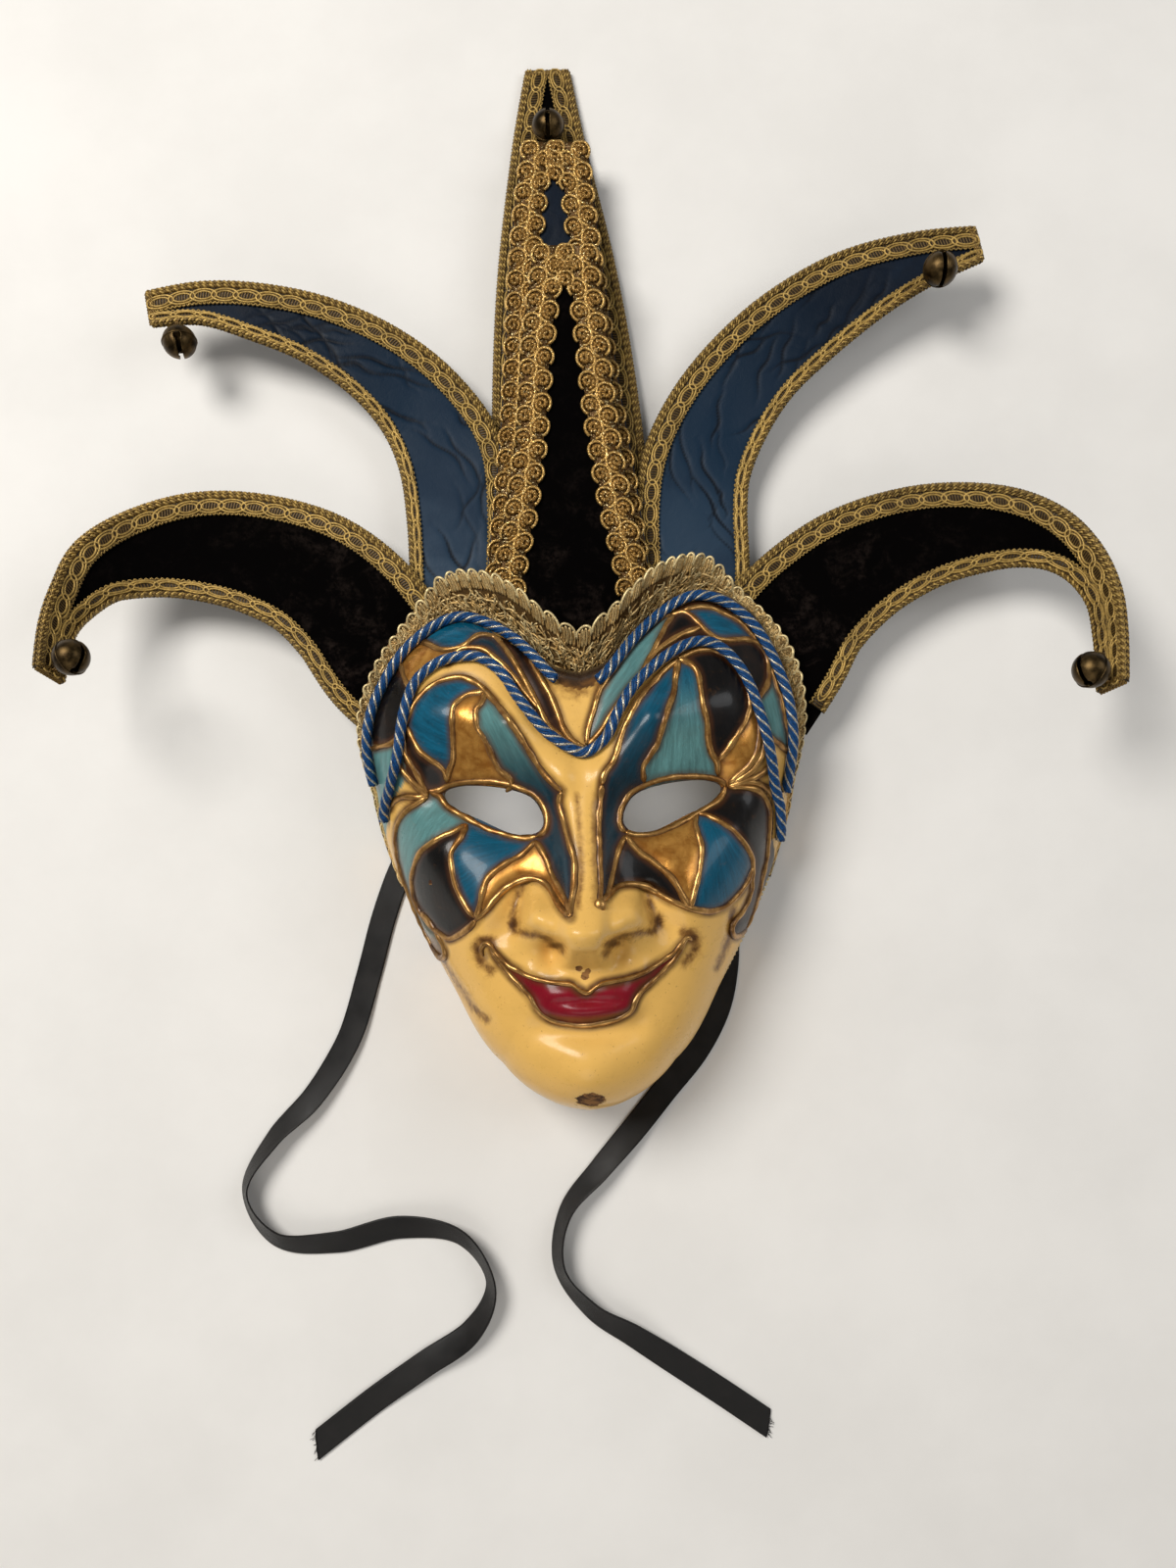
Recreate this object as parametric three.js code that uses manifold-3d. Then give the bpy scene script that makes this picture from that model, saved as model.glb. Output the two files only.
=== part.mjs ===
// A jester's carnival mask: a papier mache face with seven stiff cloth horns, lying on its back.
// Millimetres. The face looks up along +Z, its crown points along +Y, and +X is to the viewer's right.
// Sizes are measured from the tip of the chin, and the whole is moved to its origin at the end.
import * as THREE from 'three';
import { mergeVertices } from 'three/addons/utils/BufferGeometryUtils.js';
import Module from 'manifold-3d';

const wasm = await Module();
wasm.setup();

// Face shell
const WALL = 2.4;
const MIDDLE_Y = 95; // where the rays to the rim start
const DEPTH = 61; // height of the plain form at the middle
const RAYS = 60;
const RINGS = 13;
const CROWN_LEAN = 0.09; // the crown is a little higher on one side
const LEAN_FROM_Y = 125;
const LEAN_OVER = 75;
const RELIEF_FADE = 8; // power that fades the features out at the rim

// Half of the rim from the notch in the crown to the chin, with how full the form is along its ray
const RIM = [
  { x: 0, y: 166, z: 19, fullness: 6.0 },
  { x: 12, y: 171, z: 19, fullness: 5.5 },
  { x: 29, y: 186, z: 19.5, fullness: 3.4 },
  { x: 48, y: 196, z: 20, fullness: 2.8 },
  { x: 66, y: 188, z: 20, fullness: 2.5 },
  { x: 78.5, y: 170, z: 20, fullness: 2.3 },
  { x: 84.5, y: 148, z: 20, fullness: 2.2 },
  { x: 82.5, y: 124, z: 6, fullness: 2.2 },
  { x: 77, y: 98, z: 1.5, fullness: 2.3 },
  { x: 66, y: 72, z: 1.2, fullness: 2.6 },
  { x: 52, y: 46, z: 1.2, fullness: 3.0 },
  { x: 33, y: 18, z: 0, fullness: 3.8 },
  { x: 16, y: 5, z: 0, fullness: 4.6 },
  { x: 0, y: 1, z: 0, fullness: 5.0 },
];

// Nose ridge from the brow down
const NOSE = [
  { y: 132, height: 0, half: 9 },
  { y: 120, height: 3, half: 8.5 },
  { y: 105, height: 8, half: 8.5 },
  { y: 90, height: 13, half: 9 },
  { y: 78, height: 18, half: 10 },
  { y: 69, height: 22, half: 11 },
  { y: 64, height: 20, half: 11 },
  { y: 60, height: 11, half: 11 },
  { y: 56, height: 2, half: 11 },
  { y: 52, height: 0, half: 11 },
];

// Swellings and hollows of one half, each round a line from one point to another
const FEATURES = [
  { name: 'inner brow', x1: 9, y1: 125, x2: 26, y2: 144, reach: 8, height: 5 },
  { name: 'outer brow', x1: 26, y1: 146, x2: 54, y2: 152, reach: 10, height: 4 },
  { name: 'eye socket', x1: 24, y1: 112, x2: 50, y2: 121, reach: 11, height: -9 },
  { name: 'cheek', x1: 40, y1: 86, x2: 58, y2: 98, reach: 14, height: 5 },
  { name: 'mouth corner', x1: 36, y1: 64, x2: 36, y2: 64, reach: 8, height: 3 },
  { name: 'upper lip', x1: 0, y1: 51, x2: 20, y2: 54, reach: 5, height: 3 },
  { name: 'lower lip', x1: 0, y1: 42, x2: 13, y2: 44, reach: 6, height: 4 },
  { name: 'under the lip', x1: 0, y1: 33, x2: 16, y2: 36, reach: 6, height: -3 },
  { name: 'chin', x1: 0, y1: 17, x2: 0, y2: 17, reach: 15, height: 4 },
  { name: 'nose wing', x1: 14, y1: 72, x2: 17, y2: 73, reach: 7, height: 9 },
  { name: 'smile fold', x1: 24, y1: 80, x2: 30, y2: 70, reach: 6, height: -3 },
];

const point = (x, y) => new THREE.Vector2(x, y);

// Eye hole of one half, from the inner corner over the top
const EYE = [
  point(14.5, 110), point(19, 118), point(30, 122), point(44, 123.5), point(51.5, 121.5),
  point(49, 116), point(38, 110.5), point(26, 105), point(17, 105),
];
const EYE_STEPS = 22;
const EYE_CUT_FROM = 20;
const EYE_CUT_DEEP = 60;

// Raised gold lines: the main ones that divide the painted face
const LINES = [
  { name: 'left brow and nose', points: [point(-62, 153), point(-52, 161), point(-43, 163), point(-35, 157),
    point(-24, 142), point(-14, 128), point(-7, 116), point(-5, 102), point(-4, 88), point(-5, 77)] },
  { name: 'right brow and nose', points: [point(60, 154), point(50, 164), point(38, 165), point(30, 159),
    point(19, 145), point(12, 131), point(6, 119), point(5, 105), point(5, 89), point(5, 77)] },
  { name: 'left cheek', points: [point(-54, 66), point(-39, 74), point(-31, 81), point(-24, 87),
    point(-17, 88.5), point(-12, 84)] },
  { name: 'right cheek', points: [point(59, 86), point(52, 76), point(44, 75), point(35, 77),
    point(27, 82), point(19, 86), point(13, 85)] },
  { name: 'upper lip', points: [point(-38, 66), point(-33, 64), point(-27, 57), point(-19, 52.5),
    point(-9, 50.5), point(-1, 49), point(9, 51), point(18, 53.5), point(26, 58), point(32, 64),
    point(37, 67)] },
  { name: 'lower lip', points: [point(-28, 53), point(-20, 47.5), point(-17, 41), point(-10, 37),
    point(0, 35.5), point(10, 37.5), point(16, 42), point(19, 49), point(27, 54.5)] },
];
const LINE_STEP = 10;
const LINE_HALF = 1.6;
const LINE_HIGH = 1.1;
const LINE_SUNK = 0.9;
const LINE_SHOULDER = 0.7; // share of the width and height where its rounding starts

// Twisted cords
const CORD_RADIUS = 2;
const CORD_SIDES = 6;
const CORD_LIFT = CORD_RADIUS + 0.6;
const CORD_STEP = 8;
const INNER_CORD = [
  point(-75, 112.5), point(-74.5, 117), point(-71.3, 125), point(-67.5, 135), point(-65.2, 147.5),
  point(-61.5, 160), point(-56.4, 166), point(-50, 169.5), point(-41.6, 170.5), point(-35.5, 169),
  point(-28, 162), point(-21, 149), point(-12, 139), point(0, 132.5), point(9, 137), point(14, 147),
  point(21, 158), point(33, 169), point(41.5, 173.5), point(48, 173.7), point(54, 170), point(59.6, 162),
  point(64.4, 150), point(68.5, 136), point(71.3, 121), point(73.3, 114.5), point(74, 107), point(74, 102),
];
const OUTER_CORD_END_SHARE = 0.87; // how far out along its ray an outer cord ends on the forehead
const OUTER_CORD_SETTLED = 20; // degrees from the crown
const OUTER_CORDS = [
  { name: 'outer_cord_left', side: -1, from: 8, to: 68, share: 0.95 },
  { name: 'outer_cord_right', side: 1, from: 6, to: 72, share: 0.93 },
];
const OUTER_CORD_STEPS = 30;

// Gathered galloon round the crown: a row every 16 degrees from the crown, with how wide it stands out
const RUFFLE = [
  { left: 19, right: 19 },
  { left: 26, right: 25 },
  { left: 9.5, right: 5.5 },
  { left: 6, right: 6 },
  { left: 3.5, right: 3.5 },
  { left: 2, right: 2 },
  { left: 1.5, right: 1.5 },
];
const RUFFLE_TO = 96;
const RUFFLE_GAP = 0.4;
const RUFFLE_THICK = 1.6;
const RUFFLE_RISE = 0.6; // how much the outer edge lifts for each millimetre of width
const RUFFLE_GATHERS = 48;
const RUFFLE_SCALLOP = 1.2;
const RUFFLE_WAVE = 0.7;

// Cloth horns and their trim
const PANEL = 2.0;
const TRIMS = {
  braid: { wide: 9.5, thick: 1.0 },
  gimp: { wide: 14, thick: 1.2 },
};
const TRIM_GAP = 0.2;
const TRIM_OVERHANG = 0.4;
const BARE_MIDDLE = 0.3; // half of the narrowest stretch of cloth between the borders of its section
const TRIM_MEET = 1.0; // how far the two strips of trim run into each other at a narrow tip

// Each row is a section from the hidden base to the tip; turn is how far the cloth faces inwards, in degrees.
// The trim starts at the step named in from, because the base lies hidden under its neighbours.
const HORNS = [
  { name: 'left_black_horn', trim: 'left_black_braid', cloth: 'velvet', kind: 'braid',
    from: 1, steps: 18, rows: [
      { x: -60, y: 160, z: 17.5, width: 50, turn: 0 },
      { x: -76, y: 178, z: 17.5, width: 55, turn: 0 },
      { x: -90, y: 198, z: 17.5, width: 54, turn: 0 },
      { x: -107, y: 213, z: 17.7, width: 51, turn: 0 },
      { x: -129, y: 222, z: 18, width: 47, turn: 0 },
      { x: -151, y: 225, z: 20, width: 42, turn: 3 },
      { x: -171, y: 222, z: 24, width: 34, turn: 12 },
      { x: -186, y: 214, z: 31, width: 26, turn: 28 },
      { x: -194, y: 201, z: 38, width: 18, turn: 45 },
      { x: -197, y: 187, z: 46, width: 13, turn: 58 },
      { x: -195, y: 167, z: 57, width: 11, turn: 64 },
    ] },
  { name: 'left_blue_horn', trim: 'left_blue_braid', cloth: 'satin', kind: 'braid',
    from: 2, steps: 16, rows: [
      { x: -48, y: 184, z: 10.5, width: 38, turn: 0 },
      { x: -48, y: 212, z: 10.5, width: 39, turn: 0 },
      { x: -48, y: 238, z: 10.5, width: 41, turn: 0 },
      { x: -51, y: 263, z: 10.8, width: 42, turn: 0 },
      { x: -63, y: 285, z: 12, width: 37, turn: 0 },
      { x: -81, y: 302, z: 15, width: 32, turn: 0 },
      { x: -104, y: 315, z: 17.5, width: 27, turn: 0 },
      { x: -128, y: 322, z: 20.5, width: 22, turn: 0 },
      { x: -150, y: 325, z: 23, width: 16, turn: 0 },
      { x: -171, y: 322, z: 25, width: 13, turn: 0 },
    ] },
  { name: 'back_black_spike', trim: 'back_spike_braid', cloth: 'velvet', kind: 'braid',
    from: 2, steps: 8, rows: [
      { x: 0, y: 180, z: 7, width: 66, turn: 0 },
      { x: -2, y: 244, z: 7, width: 63, turn: 0 },
      { x: -4, y: 300, z: 5.6, width: 57, turn: 0 },
      { x: -6, y: 348, z: 4, width: 47, turn: 0 },
      { x: -8, y: 400, z: 2.1, width: 30, turn: 0 },
      { x: -8, y: 437, z: 1, width: 17, turn: 0 },
    ] },
  { name: 'middle_blue_spike', trim: 'middle_spike_gimp', cloth: 'satin', kind: 'gimp',
    from: 1, steps: 8, rows: [
      { x: -3, y: 184, z: 14, width: 70, turn: 0 },
      { x: -4, y: 212, z: 14, width: 66, turn: 0 },
      { x: -4, y: 246, z: 15, width: 58, turn: 0 },
      { x: -5, y: 288, z: 16, width: 48, turn: 0 },
      { x: -6, y: 333, z: 17, width: 40, turn: 0 },
      { x: -6, y: 367, z: 17.6, width: 33, turn: 0 },
      { x: -5, y: 393, z: 18, width: 27, turn: 0 },
    ] },
  { name: 'front_black_spike', trim: 'front_spike_gimp', cloth: 'velvet', kind: 'gimp',
    from: 1, steps: 8, rows: [
      { x: -3, y: 164, z: 17.7, width: 62, turn: 0 },
      { x: -3, y: 205, z: 17.8, width: 63, turn: 0 },
      { x: -3, y: 236, z: 21, width: 51, turn: 0 },
      { x: -3, y: 269, z: 23.5, width: 41, turn: 0 },
      { x: -3, y: 302, z: 26, width: 35, turn: 0 },
      { x: -2, y: 342, z: 29, width: 25, turn: 0 },
    ] },
  { name: 'right_blue_horn', trim: 'right_blue_braid', cloth: 'satin', kind: 'braid',
    from: 2, steps: 16, rows: [
      { x: 46, y: 184, z: 10.5, width: 40, turn: 0 },
      { x: 47, y: 212, z: 10.5, width: 44, turn: 0 },
      { x: 47, y: 237, z: 10.5, width: 44, turn: 0 },
      { x: 50, y: 257, z: 10.8, width: 43, turn: 0 },
      { x: 60, y: 278, z: 12, width: 41, turn: 0 },
      { x: 75, y: 297, z: 14.5, width: 38, turn: 0 },
      { x: 94, y: 313, z: 16.5, width: 36, turn: 0 },
      { x: 117, y: 327, z: 19, width: 31, turn: 0 },
      { x: 142, y: 336, z: 22.5, width: 22, turn: 0 },
      { x: 166, y: 341, z: 25, width: 13, turn: 0 },
    ] },
  { name: 'right_black_horn', trim: 'right_black_braid', cloth: 'velvet', kind: 'braid',
    from: 1, steps: 18, rows: [
      { x: 66, y: 160, z: 17.5, width: 58, turn: 0 },
      { x: 79, y: 178, z: 17.5, width: 57, turn: 0 },
      { x: 93, y: 196, z: 17.5, width: 52, turn: 0 },
      { x: 114, y: 212, z: 18, width: 47, turn: 0 },
      { x: 140, y: 222, z: 19, width: 40, turn: -2 },
      { x: 166, y: 224, z: 22, width: 32, turn: -10 },
      { x: 184, y: 219, z: 27, width: 24, turn: -25 },
      { x: 195, y: 208, z: 34, width: 17, turn: -42 },
      { x: 200, y: 192, z: 42, width: 13, turn: -56 },
      { x: 199, y: 174, z: 49, width: 12, turn: -62 },
      { x: 195, y: 153, z: 57, width: 11, turn: -64 },
    ] },
];

// Bells: where each is sewn on, along and across its horn, and how far it leans sideways off it, in degrees
const BELLS = [
  { name: 'bell_left_black', horn: 'left_black_horn', on: 'trim', along: 0.985, across: 0, out: 0 },
  { name: 'bell_left_blue', horn: 'left_blue_horn', on: 'edge', along: 0.94, across: 1, out: 79 },
  { name: 'bell_back_spike', horn: 'back_black_spike', on: 'cloth', along: 0.82, across: 0, out: 0 },
  { name: 'bell_right_blue', horn: 'right_blue_horn', on: 'trim', along: 0.905, across: -0.5, out: -31 },
  { name: 'bell_right_black', horn: 'right_black_horn', on: 'trim', along: 0.985, across: 0, out: 0 },
];
const BELL_RADIUS = 6.7;
const BELL_WALL = 0.9;
const BELL_SLOT = 1.8;
const BELL_SLOT_HIGH = 4.7; // middle of the slot's cut over the bell's middle
const BELL_SIDES = 8;
const BELL_RINGS = 6;
const LOOP_RADIUS = 1.3;
const LOOP_LONG = 2.6;
const LOOP_SIDES = 6;
const SEAT_GAP = 0.3;

// Tie ribbons: the routes on the surface; lean is how far the ribbon stands on its edge, in degrees
const RIBBON_WIDE = 10;
const RIBBON_THICK = 0.6;
const RIBBON_CLEAR = 0.2; // height of its lower face over the surface
const RIBBON_STEPS = 40;
const RIBBONS = [
  { name: 'ribbon_left', rows: [
    { x: -66, y: 116, lean: 0 }, { x: -70, y: 105, lean: 0 }, { x: -77, y: 90, lean: 0 },
    { x: -83, y: 73, lean: 0 }, { x: -89, y: 51, lean: 0 }, { x: -97, y: 26, lean: 10 },
    { x: -111, y: 4, lean: 25 }, { x: -127, y: -12, lean: 50 }, { x: -138, y: -32, lean: 65 },
    { x: -126, y: -51, lean: 45 }, { x: -102, y: -53, lean: 25 }, { x: -77, y: -48, lean: 20 },
    { x: -53, y: -52, lean: 45 }, { x: -41, y: -70, lean: 65 }, { x: -49, y: -88, lean: 40 },
    { x: -68, y: -101, lean: 12 }, { x: -89, y: -115, lean: 0 }, { x: -111, y: -131, lean: 0 },
  ] },
  { name: 'ribbon_right', rows: [
    { x: 58, y: 100, lean: 0 }, { x: 57, y: 84, lean: 0 }, { x: 57, y: 66, lean: 0 },
    { x: 56, y: 50, lean: 0 }, { x: 52, y: 34, lean: 0 }, { x: 43, y: 18, lean: 0 },
    { x: 30, y: 3, lean: 5 }, { x: 17, y: -12, lean: 18 }, { x: 3, y: -27, lean: 40 },
    { x: -11, y: -43, lean: 62 }, { x: -14, y: -64, lean: 62 }, { x: -2, y: -81, lean: 42 },
    { x: 15, y: -92, lean: 20 }, { x: 33, y: -104, lean: 5 }, { x: 51, y: -116, lean: 0 },
    { x: 67, y: -127, lean: 0 },
  ] },
];

const LOOKS = {
  ivory: { color: 0xe1c080, roughness: 0.3, metalness: 0 },
  twist: { color: 0x23508c, roughness: 0.55, metalness: 0.1 },
  galloon: { color: 0x826a46, roughness: 0.6, metalness: 0.3 },
  velvet: { color: 0x0c0a0c, roughness: 0.95, metalness: 0 },
  satin: { color: 0x233c6e, roughness: 0.45, metalness: 0 },
  gold: { color: 0x967337, roughness: 0.5, metalness: 0.5 },
  brass: { color: 0x4b3c28, roughness: 0.45, metalness: 0.9 },
  ribbon: { color: 0x101012, roughness: 0.35, metalness: 0 },
};

const mask = new THREE.Group();
const UP = new THREE.Vector3(0, 0, 1);
const SLOPE_STEP = 0.4; // distance over which slopes are measured
const CURVE_STEP = 0.01; // share of a curve over which its heading is measured
const RIM_TURN = 0.02; // turn over which the rim's heading is measured
const LEAN_TRIES = 4; // steps that undo the lean of the crown
const MERGE_WITHIN = 1e-4;
const smooth = (value) => THREE.MathUtils.smoothstep(value, 0, 1);
const lerp = THREE.MathUtils.lerp;

// Solids

function piece(name, geometry, look) {
  const mesh = new THREE.Mesh(geometry, new THREE.MeshStandardMaterial(LOOKS[look]));
  mesh.name = name;
  mask.add(mesh);
  return mesh;
}

function toSolid(geometry) {
  const bare = geometry.clone();
  bare.deleteAttribute('normal');
  bare.deleteAttribute('uv');
  const merged = mergeVertices(bare, MERGE_WITHIN);
  return new wasm.Manifold(new wasm.Mesh({
    numProp: 3,
    vertProperties: new Float32Array(merged.attributes.position.array),
    triVerts: new Uint32Array(merged.index.array),
  }));
}

function toGeometry(solid) {
  const mesh = solid.getMesh();
  const geometry = new THREE.BufferGeometry();
  geometry.setAttribute('position', new THREE.BufferAttribute(mesh.vertProperties, 3));
  geometry.setIndex(new THREE.BufferAttribute(mesh.triVerts, 1));
  geometry.computeVertexNormals();
  return geometry;
}

// Volume of a closed mesh, negative where its faces point in
function signedVolume(points, index) {
  let sum = 0;
  const cross = new THREE.Vector3();
  for (let i = 0; i < index.length; i += 3) {
    sum += points[index[i]].dot(cross.crossVectors(points[index[i + 1]], points[index[i + 2]])) / 6;
  }
  return sum;
}

function fromTriangles(points, index) {
  if (signedVolume(points, index) < 0) index.reverse();
  const geometry = new THREE.BufferGeometry().setFromPoints(points);
  geometry.setIndex(index);
  geometry.computeVertexNormals();
  return geometry;
}

// A closed solid through a row of sections that have the same number of points. The two halves of a section
// are split along mirrored diagonals, so that the faces of a thin twisted strip stay side by side.
function loft(sections) {
  const size = sections[0].length;
  const points = sections.flat();
  const index = [];
  for (let row = 0; row < sections.length - 1; row += 1) {
    for (let k = 0; k < size; k += 1) {
      const a = row * size + k;
      const b = row * size + (k + 1) % size;
      if (2 * k < size) index.push(a, b, b + size, a, b + size, a + size);
      else index.push(a, b, a + size, b, b + size, a + size);
    }
  }
  const last = points.length - size;
  for (let k = 1; k < size - 1; k += 1) {
    index.push(0, k + 1, k);
    index.push(last, last + k, last + k + 1);
  }
  return fromTriangles(points, index);
}

// Value of a column at a share of the way down a table, on a smooth curve through its rows
function column(rows, name, share) {
  const at = share * (rows.length - 1);
  const i = Math.min(Math.floor(at), rows.length - 2);
  const f = at - i;
  const value = (k) => rows[THREE.MathUtils.clamp(k, 0, rows.length - 1)][name];
  const start = (value(i + 1) - value(i - 1)) / 2;
  const end = (value(i + 2) - value(i)) / 2;
  const rise = value(i + 1) - value(i);
  return value(i) + f * start + f * f * (3 * rise - 2 * start - end) + f * f * f * (start + end - 2 * rise);
}

// Face form

const rimAngle = RIM.map((row) => Math.atan2(row.x, row.y - MIDDLE_Y));
const rimRows = RIM.map((row) => ({ ...row, radius: Math.hypot(row.x, row.y - MIDDLE_Y) }));

// Radius, height and fullness of the rim at an angle from the crown
function rimAt(angle) {
  const a = Math.abs(angle);
  let i = 0;
  while (i < rimAngle.length - 2 && a > rimAngle[i + 1]) i += 1;
  const share = (i + (a - rimAngle[i]) / (rimAngle[i + 1] - rimAngle[i])) / (rimRows.length - 1);
  return {
    radius: column(rimRows, 'radius', share),
    z: Math.max(0, column(rimRows, 'z', share)),
    fullness: column(rimRows, 'fullness', share),
  };
}

function leaned(x, y) {
  return y + CROWN_LEAN * x * smooth((y - LEAN_FROM_Y) / LEAN_OVER);
}

function unleaned(x, y) {
  let even = y;
  for (let i = 0; i < LEAN_TRIES; i += 1) {
    even = y - CROWN_LEAN * x * smooth((even - LEAN_FROM_Y) / LEAN_OVER);
  }
  return even;
}

function noseHeight(x, y) {
  const i = NOSE.findIndex((row, k) => k > 0 && y <= NOSE[k - 1].y && y >= row.y);
  if (i < 0) return 0;
  const f = (NOSE[i - 1].y - y) / (NOSE[i - 1].y - NOSE[i].y);
  const half = lerp(NOSE[i - 1].half, NOSE[i].half, f);
  return lerp(NOSE[i - 1].height, NOSE[i].height, f) / (1 + (x / half) ** 4);
}

function featureHeight(x, y) {
  let sum = noseHeight(x, y);
  for (const f of FEATURES) {
    const line = new THREE.Line3(new THREE.Vector3(f.x1, f.y1), new THREE.Vector3(f.x2, f.y2));
    const here = new THREE.Vector3(Math.abs(x), y);
    const away = line.closestPointToPoint(here, true, new THREE.Vector3()).distanceTo(here);
    sum += f.height * Math.exp(-((away / f.reach) ** 2));
  }
  return sum;
}

// Outer face at an angle from the crown and a share of the way to the rim
function faceByRay(angle, share) {
  const rim = rimAt(angle);
  const x = Math.sin(angle) * rim.radius * share;
  const y = MIDDLE_Y + Math.cos(angle) * rim.radius * share;
  const inside = Math.max(0, 1 - share ** rim.fullness);
  const z = rim.z + (DEPTH - rim.z) * inside ** (1 / rim.fullness);
  const relief = featureHeight(x, y) * (1 - Math.min(1, share) ** RELIEF_FADE);
  return new THREE.Vector3(x, leaned(x, y), z + relief);
}

// Outer face over a point seen from the front
function faceOver(x, y) {
  const even = unleaned(x, y);
  const angle = Math.atan2(x, even - MIDDLE_Y);
  return faceByRay(angle, Math.hypot(x, even - MIDDLE_Y) / rimAt(angle).radius);
}

function faceNormal(x, y) {
  const alongX = faceOver(x + SLOPE_STEP, y).sub(faceOver(x - SLOPE_STEP, y));
  const alongY = faceOver(x, y + SLOPE_STEP).sub(faceOver(x, y - SLOPE_STEP));
  return alongX.cross(alongY).normalize();
}

// Way out of the rim at an angle, level with the floor
function rimOutward(angle) {
  const along = faceByRay(angle + RIM_TURN, 1).sub(faceByRay(angle - RIM_TURN, 1));
  return new THREE.Vector3(-along.y, along.x, 0).normalize();
}

// Rim of the faceted shell, which is straight from ray to ray
function facetedRim(angle) {
  const pitch = (2 * Math.PI) / RAYS;
  const ray = Math.floor(angle / pitch);
  return faceByRay(ray * pitch, 1).lerp(faceByRay((ray + 1) * pitch, 1), angle / pitch - ray);
}

function shellGeometry() {
  const outer = [];
  const inner = [];
  for (let ring = 1; ring <= RINGS; ring += 1) {
    const share = Math.sin((ring / RINGS) * (Math.PI / 2));
    for (let ray = 0; ray < RAYS; ray += 1) {
      const angle = (ray / RAYS) * 2 * Math.PI - Math.PI;
      const skin = faceByRay(angle, share);
      const outward = ring === RINGS ? rimOutward(angle) : faceNormal(skin.x, skin.y);
      outer.push(skin);
      inner.push(skin.clone().addScaledVector(outward, -WALL));
    }
  }
  const middle = faceByRay(0, 0);
  const points = [...outer, ...inner, middle, middle.clone().addScaledVector(UP, -WALL)];
  const half = outer.length;
  const index = [];
  for (let ray = 0; ray < RAYS; ray += 1) {
    const next = (ray + 1) % RAYS;
    index.push(2 * half, next, ray);
    index.push(2 * half + 1, half + ray, half + next);
    for (let ring = 0; ring < RINGS - 1; ring += 1) {
      const a = ring * RAYS + ray;
      const b = ring * RAYS + next;
      index.push(a, b, b + RAYS, a, b + RAYS, a + RAYS);
      index.push(half + a, half + b + RAYS, half + b, half + a, half + a + RAYS, half + b + RAYS);
    }
    const a = (RINGS - 1) * RAYS + ray;
    const b = (RINGS - 1) * RAYS + next;
    index.push(a, b, half + b, a, half + b, half + a);
  }
  return fromTriangles(points, index);
}

function eyeCutter(side) {
  const corners = EYE.map((p) => new THREE.Vector3(side * p.x, p.y, 0));
  const outline = new THREE.CatmullRomCurve3(corners, true).getSpacedPoints(EYE_STEPS).slice(0, EYE_STEPS);
  const shape = new THREE.Shape(outline.map((p) => point(p.x, p.y)));
  const cutter = new THREE.ExtrudeGeometry(shape, { depth: EYE_CUT_DEEP, bevelEnabled: false });
  return toSolid(cutter.translate(0, 0, EYE_CUT_FROM));
}

// Sections along a curve on the face, each made from its foot point, its way across and the face's normal
function sectionsOnFace(points, step, section) {
  const flat = new THREE.SplineCurve(points);
  const count = Math.max(3, Math.round(flat.getLength() / step));
  const sections = [];
  for (let i = 0; i <= count; i += 1) {
    const at = flat.getPointAt(i / count);
    const before = flat.getPointAt(Math.max(0, i / count - CURVE_STEP));
    const after = flat.getPointAt(Math.min(1, i / count + CURVE_STEP));
    const foot = faceOver(at.x, at.y);
    const normal = faceNormal(at.x, at.y);
    const along = faceOver(after.x, after.y).sub(faceOver(before.x, before.y)).normalize();
    sections.push(section(foot, along.cross(normal).normalize(), normal));
  }
  return sections;
}

function place(foot, across, normal, sideways, high) {
  return foot.clone().addScaledVector(across, sideways).addScaledVector(normal, high);
}

function lineSection(foot, across, normal) {
  return [
    place(foot, across, normal, -LINE_HALF, -LINE_SUNK),
    place(foot, across, normal, LINE_HALF, -LINE_SUNK),
    place(foot, across, normal, LINE_HALF * LINE_SHOULDER, LINE_HIGH * LINE_SHOULDER),
    place(foot, across, normal, 0, LINE_HIGH),
    place(foot, across, normal, -LINE_HALF * LINE_SHOULDER, LINE_HIGH * LINE_SHOULDER),
  ];
}

function cordSection(foot, across, normal) {
  const section = [];
  for (let k = 0; k < CORD_SIDES; k += 1) {
    const turn = (k / CORD_SIDES) * 2 * Math.PI;
    const high = CORD_LIFT + CORD_RADIUS * Math.sin(turn);
    section.push(place(foot, across, normal, CORD_RADIUS * Math.cos(turn), high));
  }
  return section;
}

function buildFace() {
  let shell = toSolid(shellGeometry());
  for (const line of LINES) {
    const ridge = loft(sectionsOnFace(line.points, LINE_STEP, lineSection));
    shell = shell.add(toSolid(ridge));
  }
  for (const side of [-1, 1]) shell = shell.subtract(eyeCutter(side));
  piece('face_shell', toGeometry(shell), 'ivory');
  piece('inner_cord', loft(sectionsOnFace(INNER_CORD, CORD_STEP, cordSection)), 'twist');
}

// Points on the face along the crown, where the outer cord of one side runs
function outerCordPoints({ side, from, to, share }) {
  const points = [];
  for (let i = 0; i <= OUTER_CORD_STEPS; i += 1) {
    const degrees = lerp(from, to, i / OUTER_CORD_STEPS);
    const settled = smooth((degrees - from) / (OUTER_CORD_SETTLED - from));
    const out = lerp(OUTER_CORD_END_SHARE, share, settled);
    const at = faceByRay(side * THREE.MathUtils.degToRad(degrees), out);
    points.push(point(at.x, at.y));
  }
  return points;
}

function buildOuterCords() {
  for (const row of OUTER_CORDS) {
    piece(row.name, loft(sectionsOnFace(outerCordPoints(row), CORD_STEP, cordSection)), 'twist');
  }
}

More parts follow.
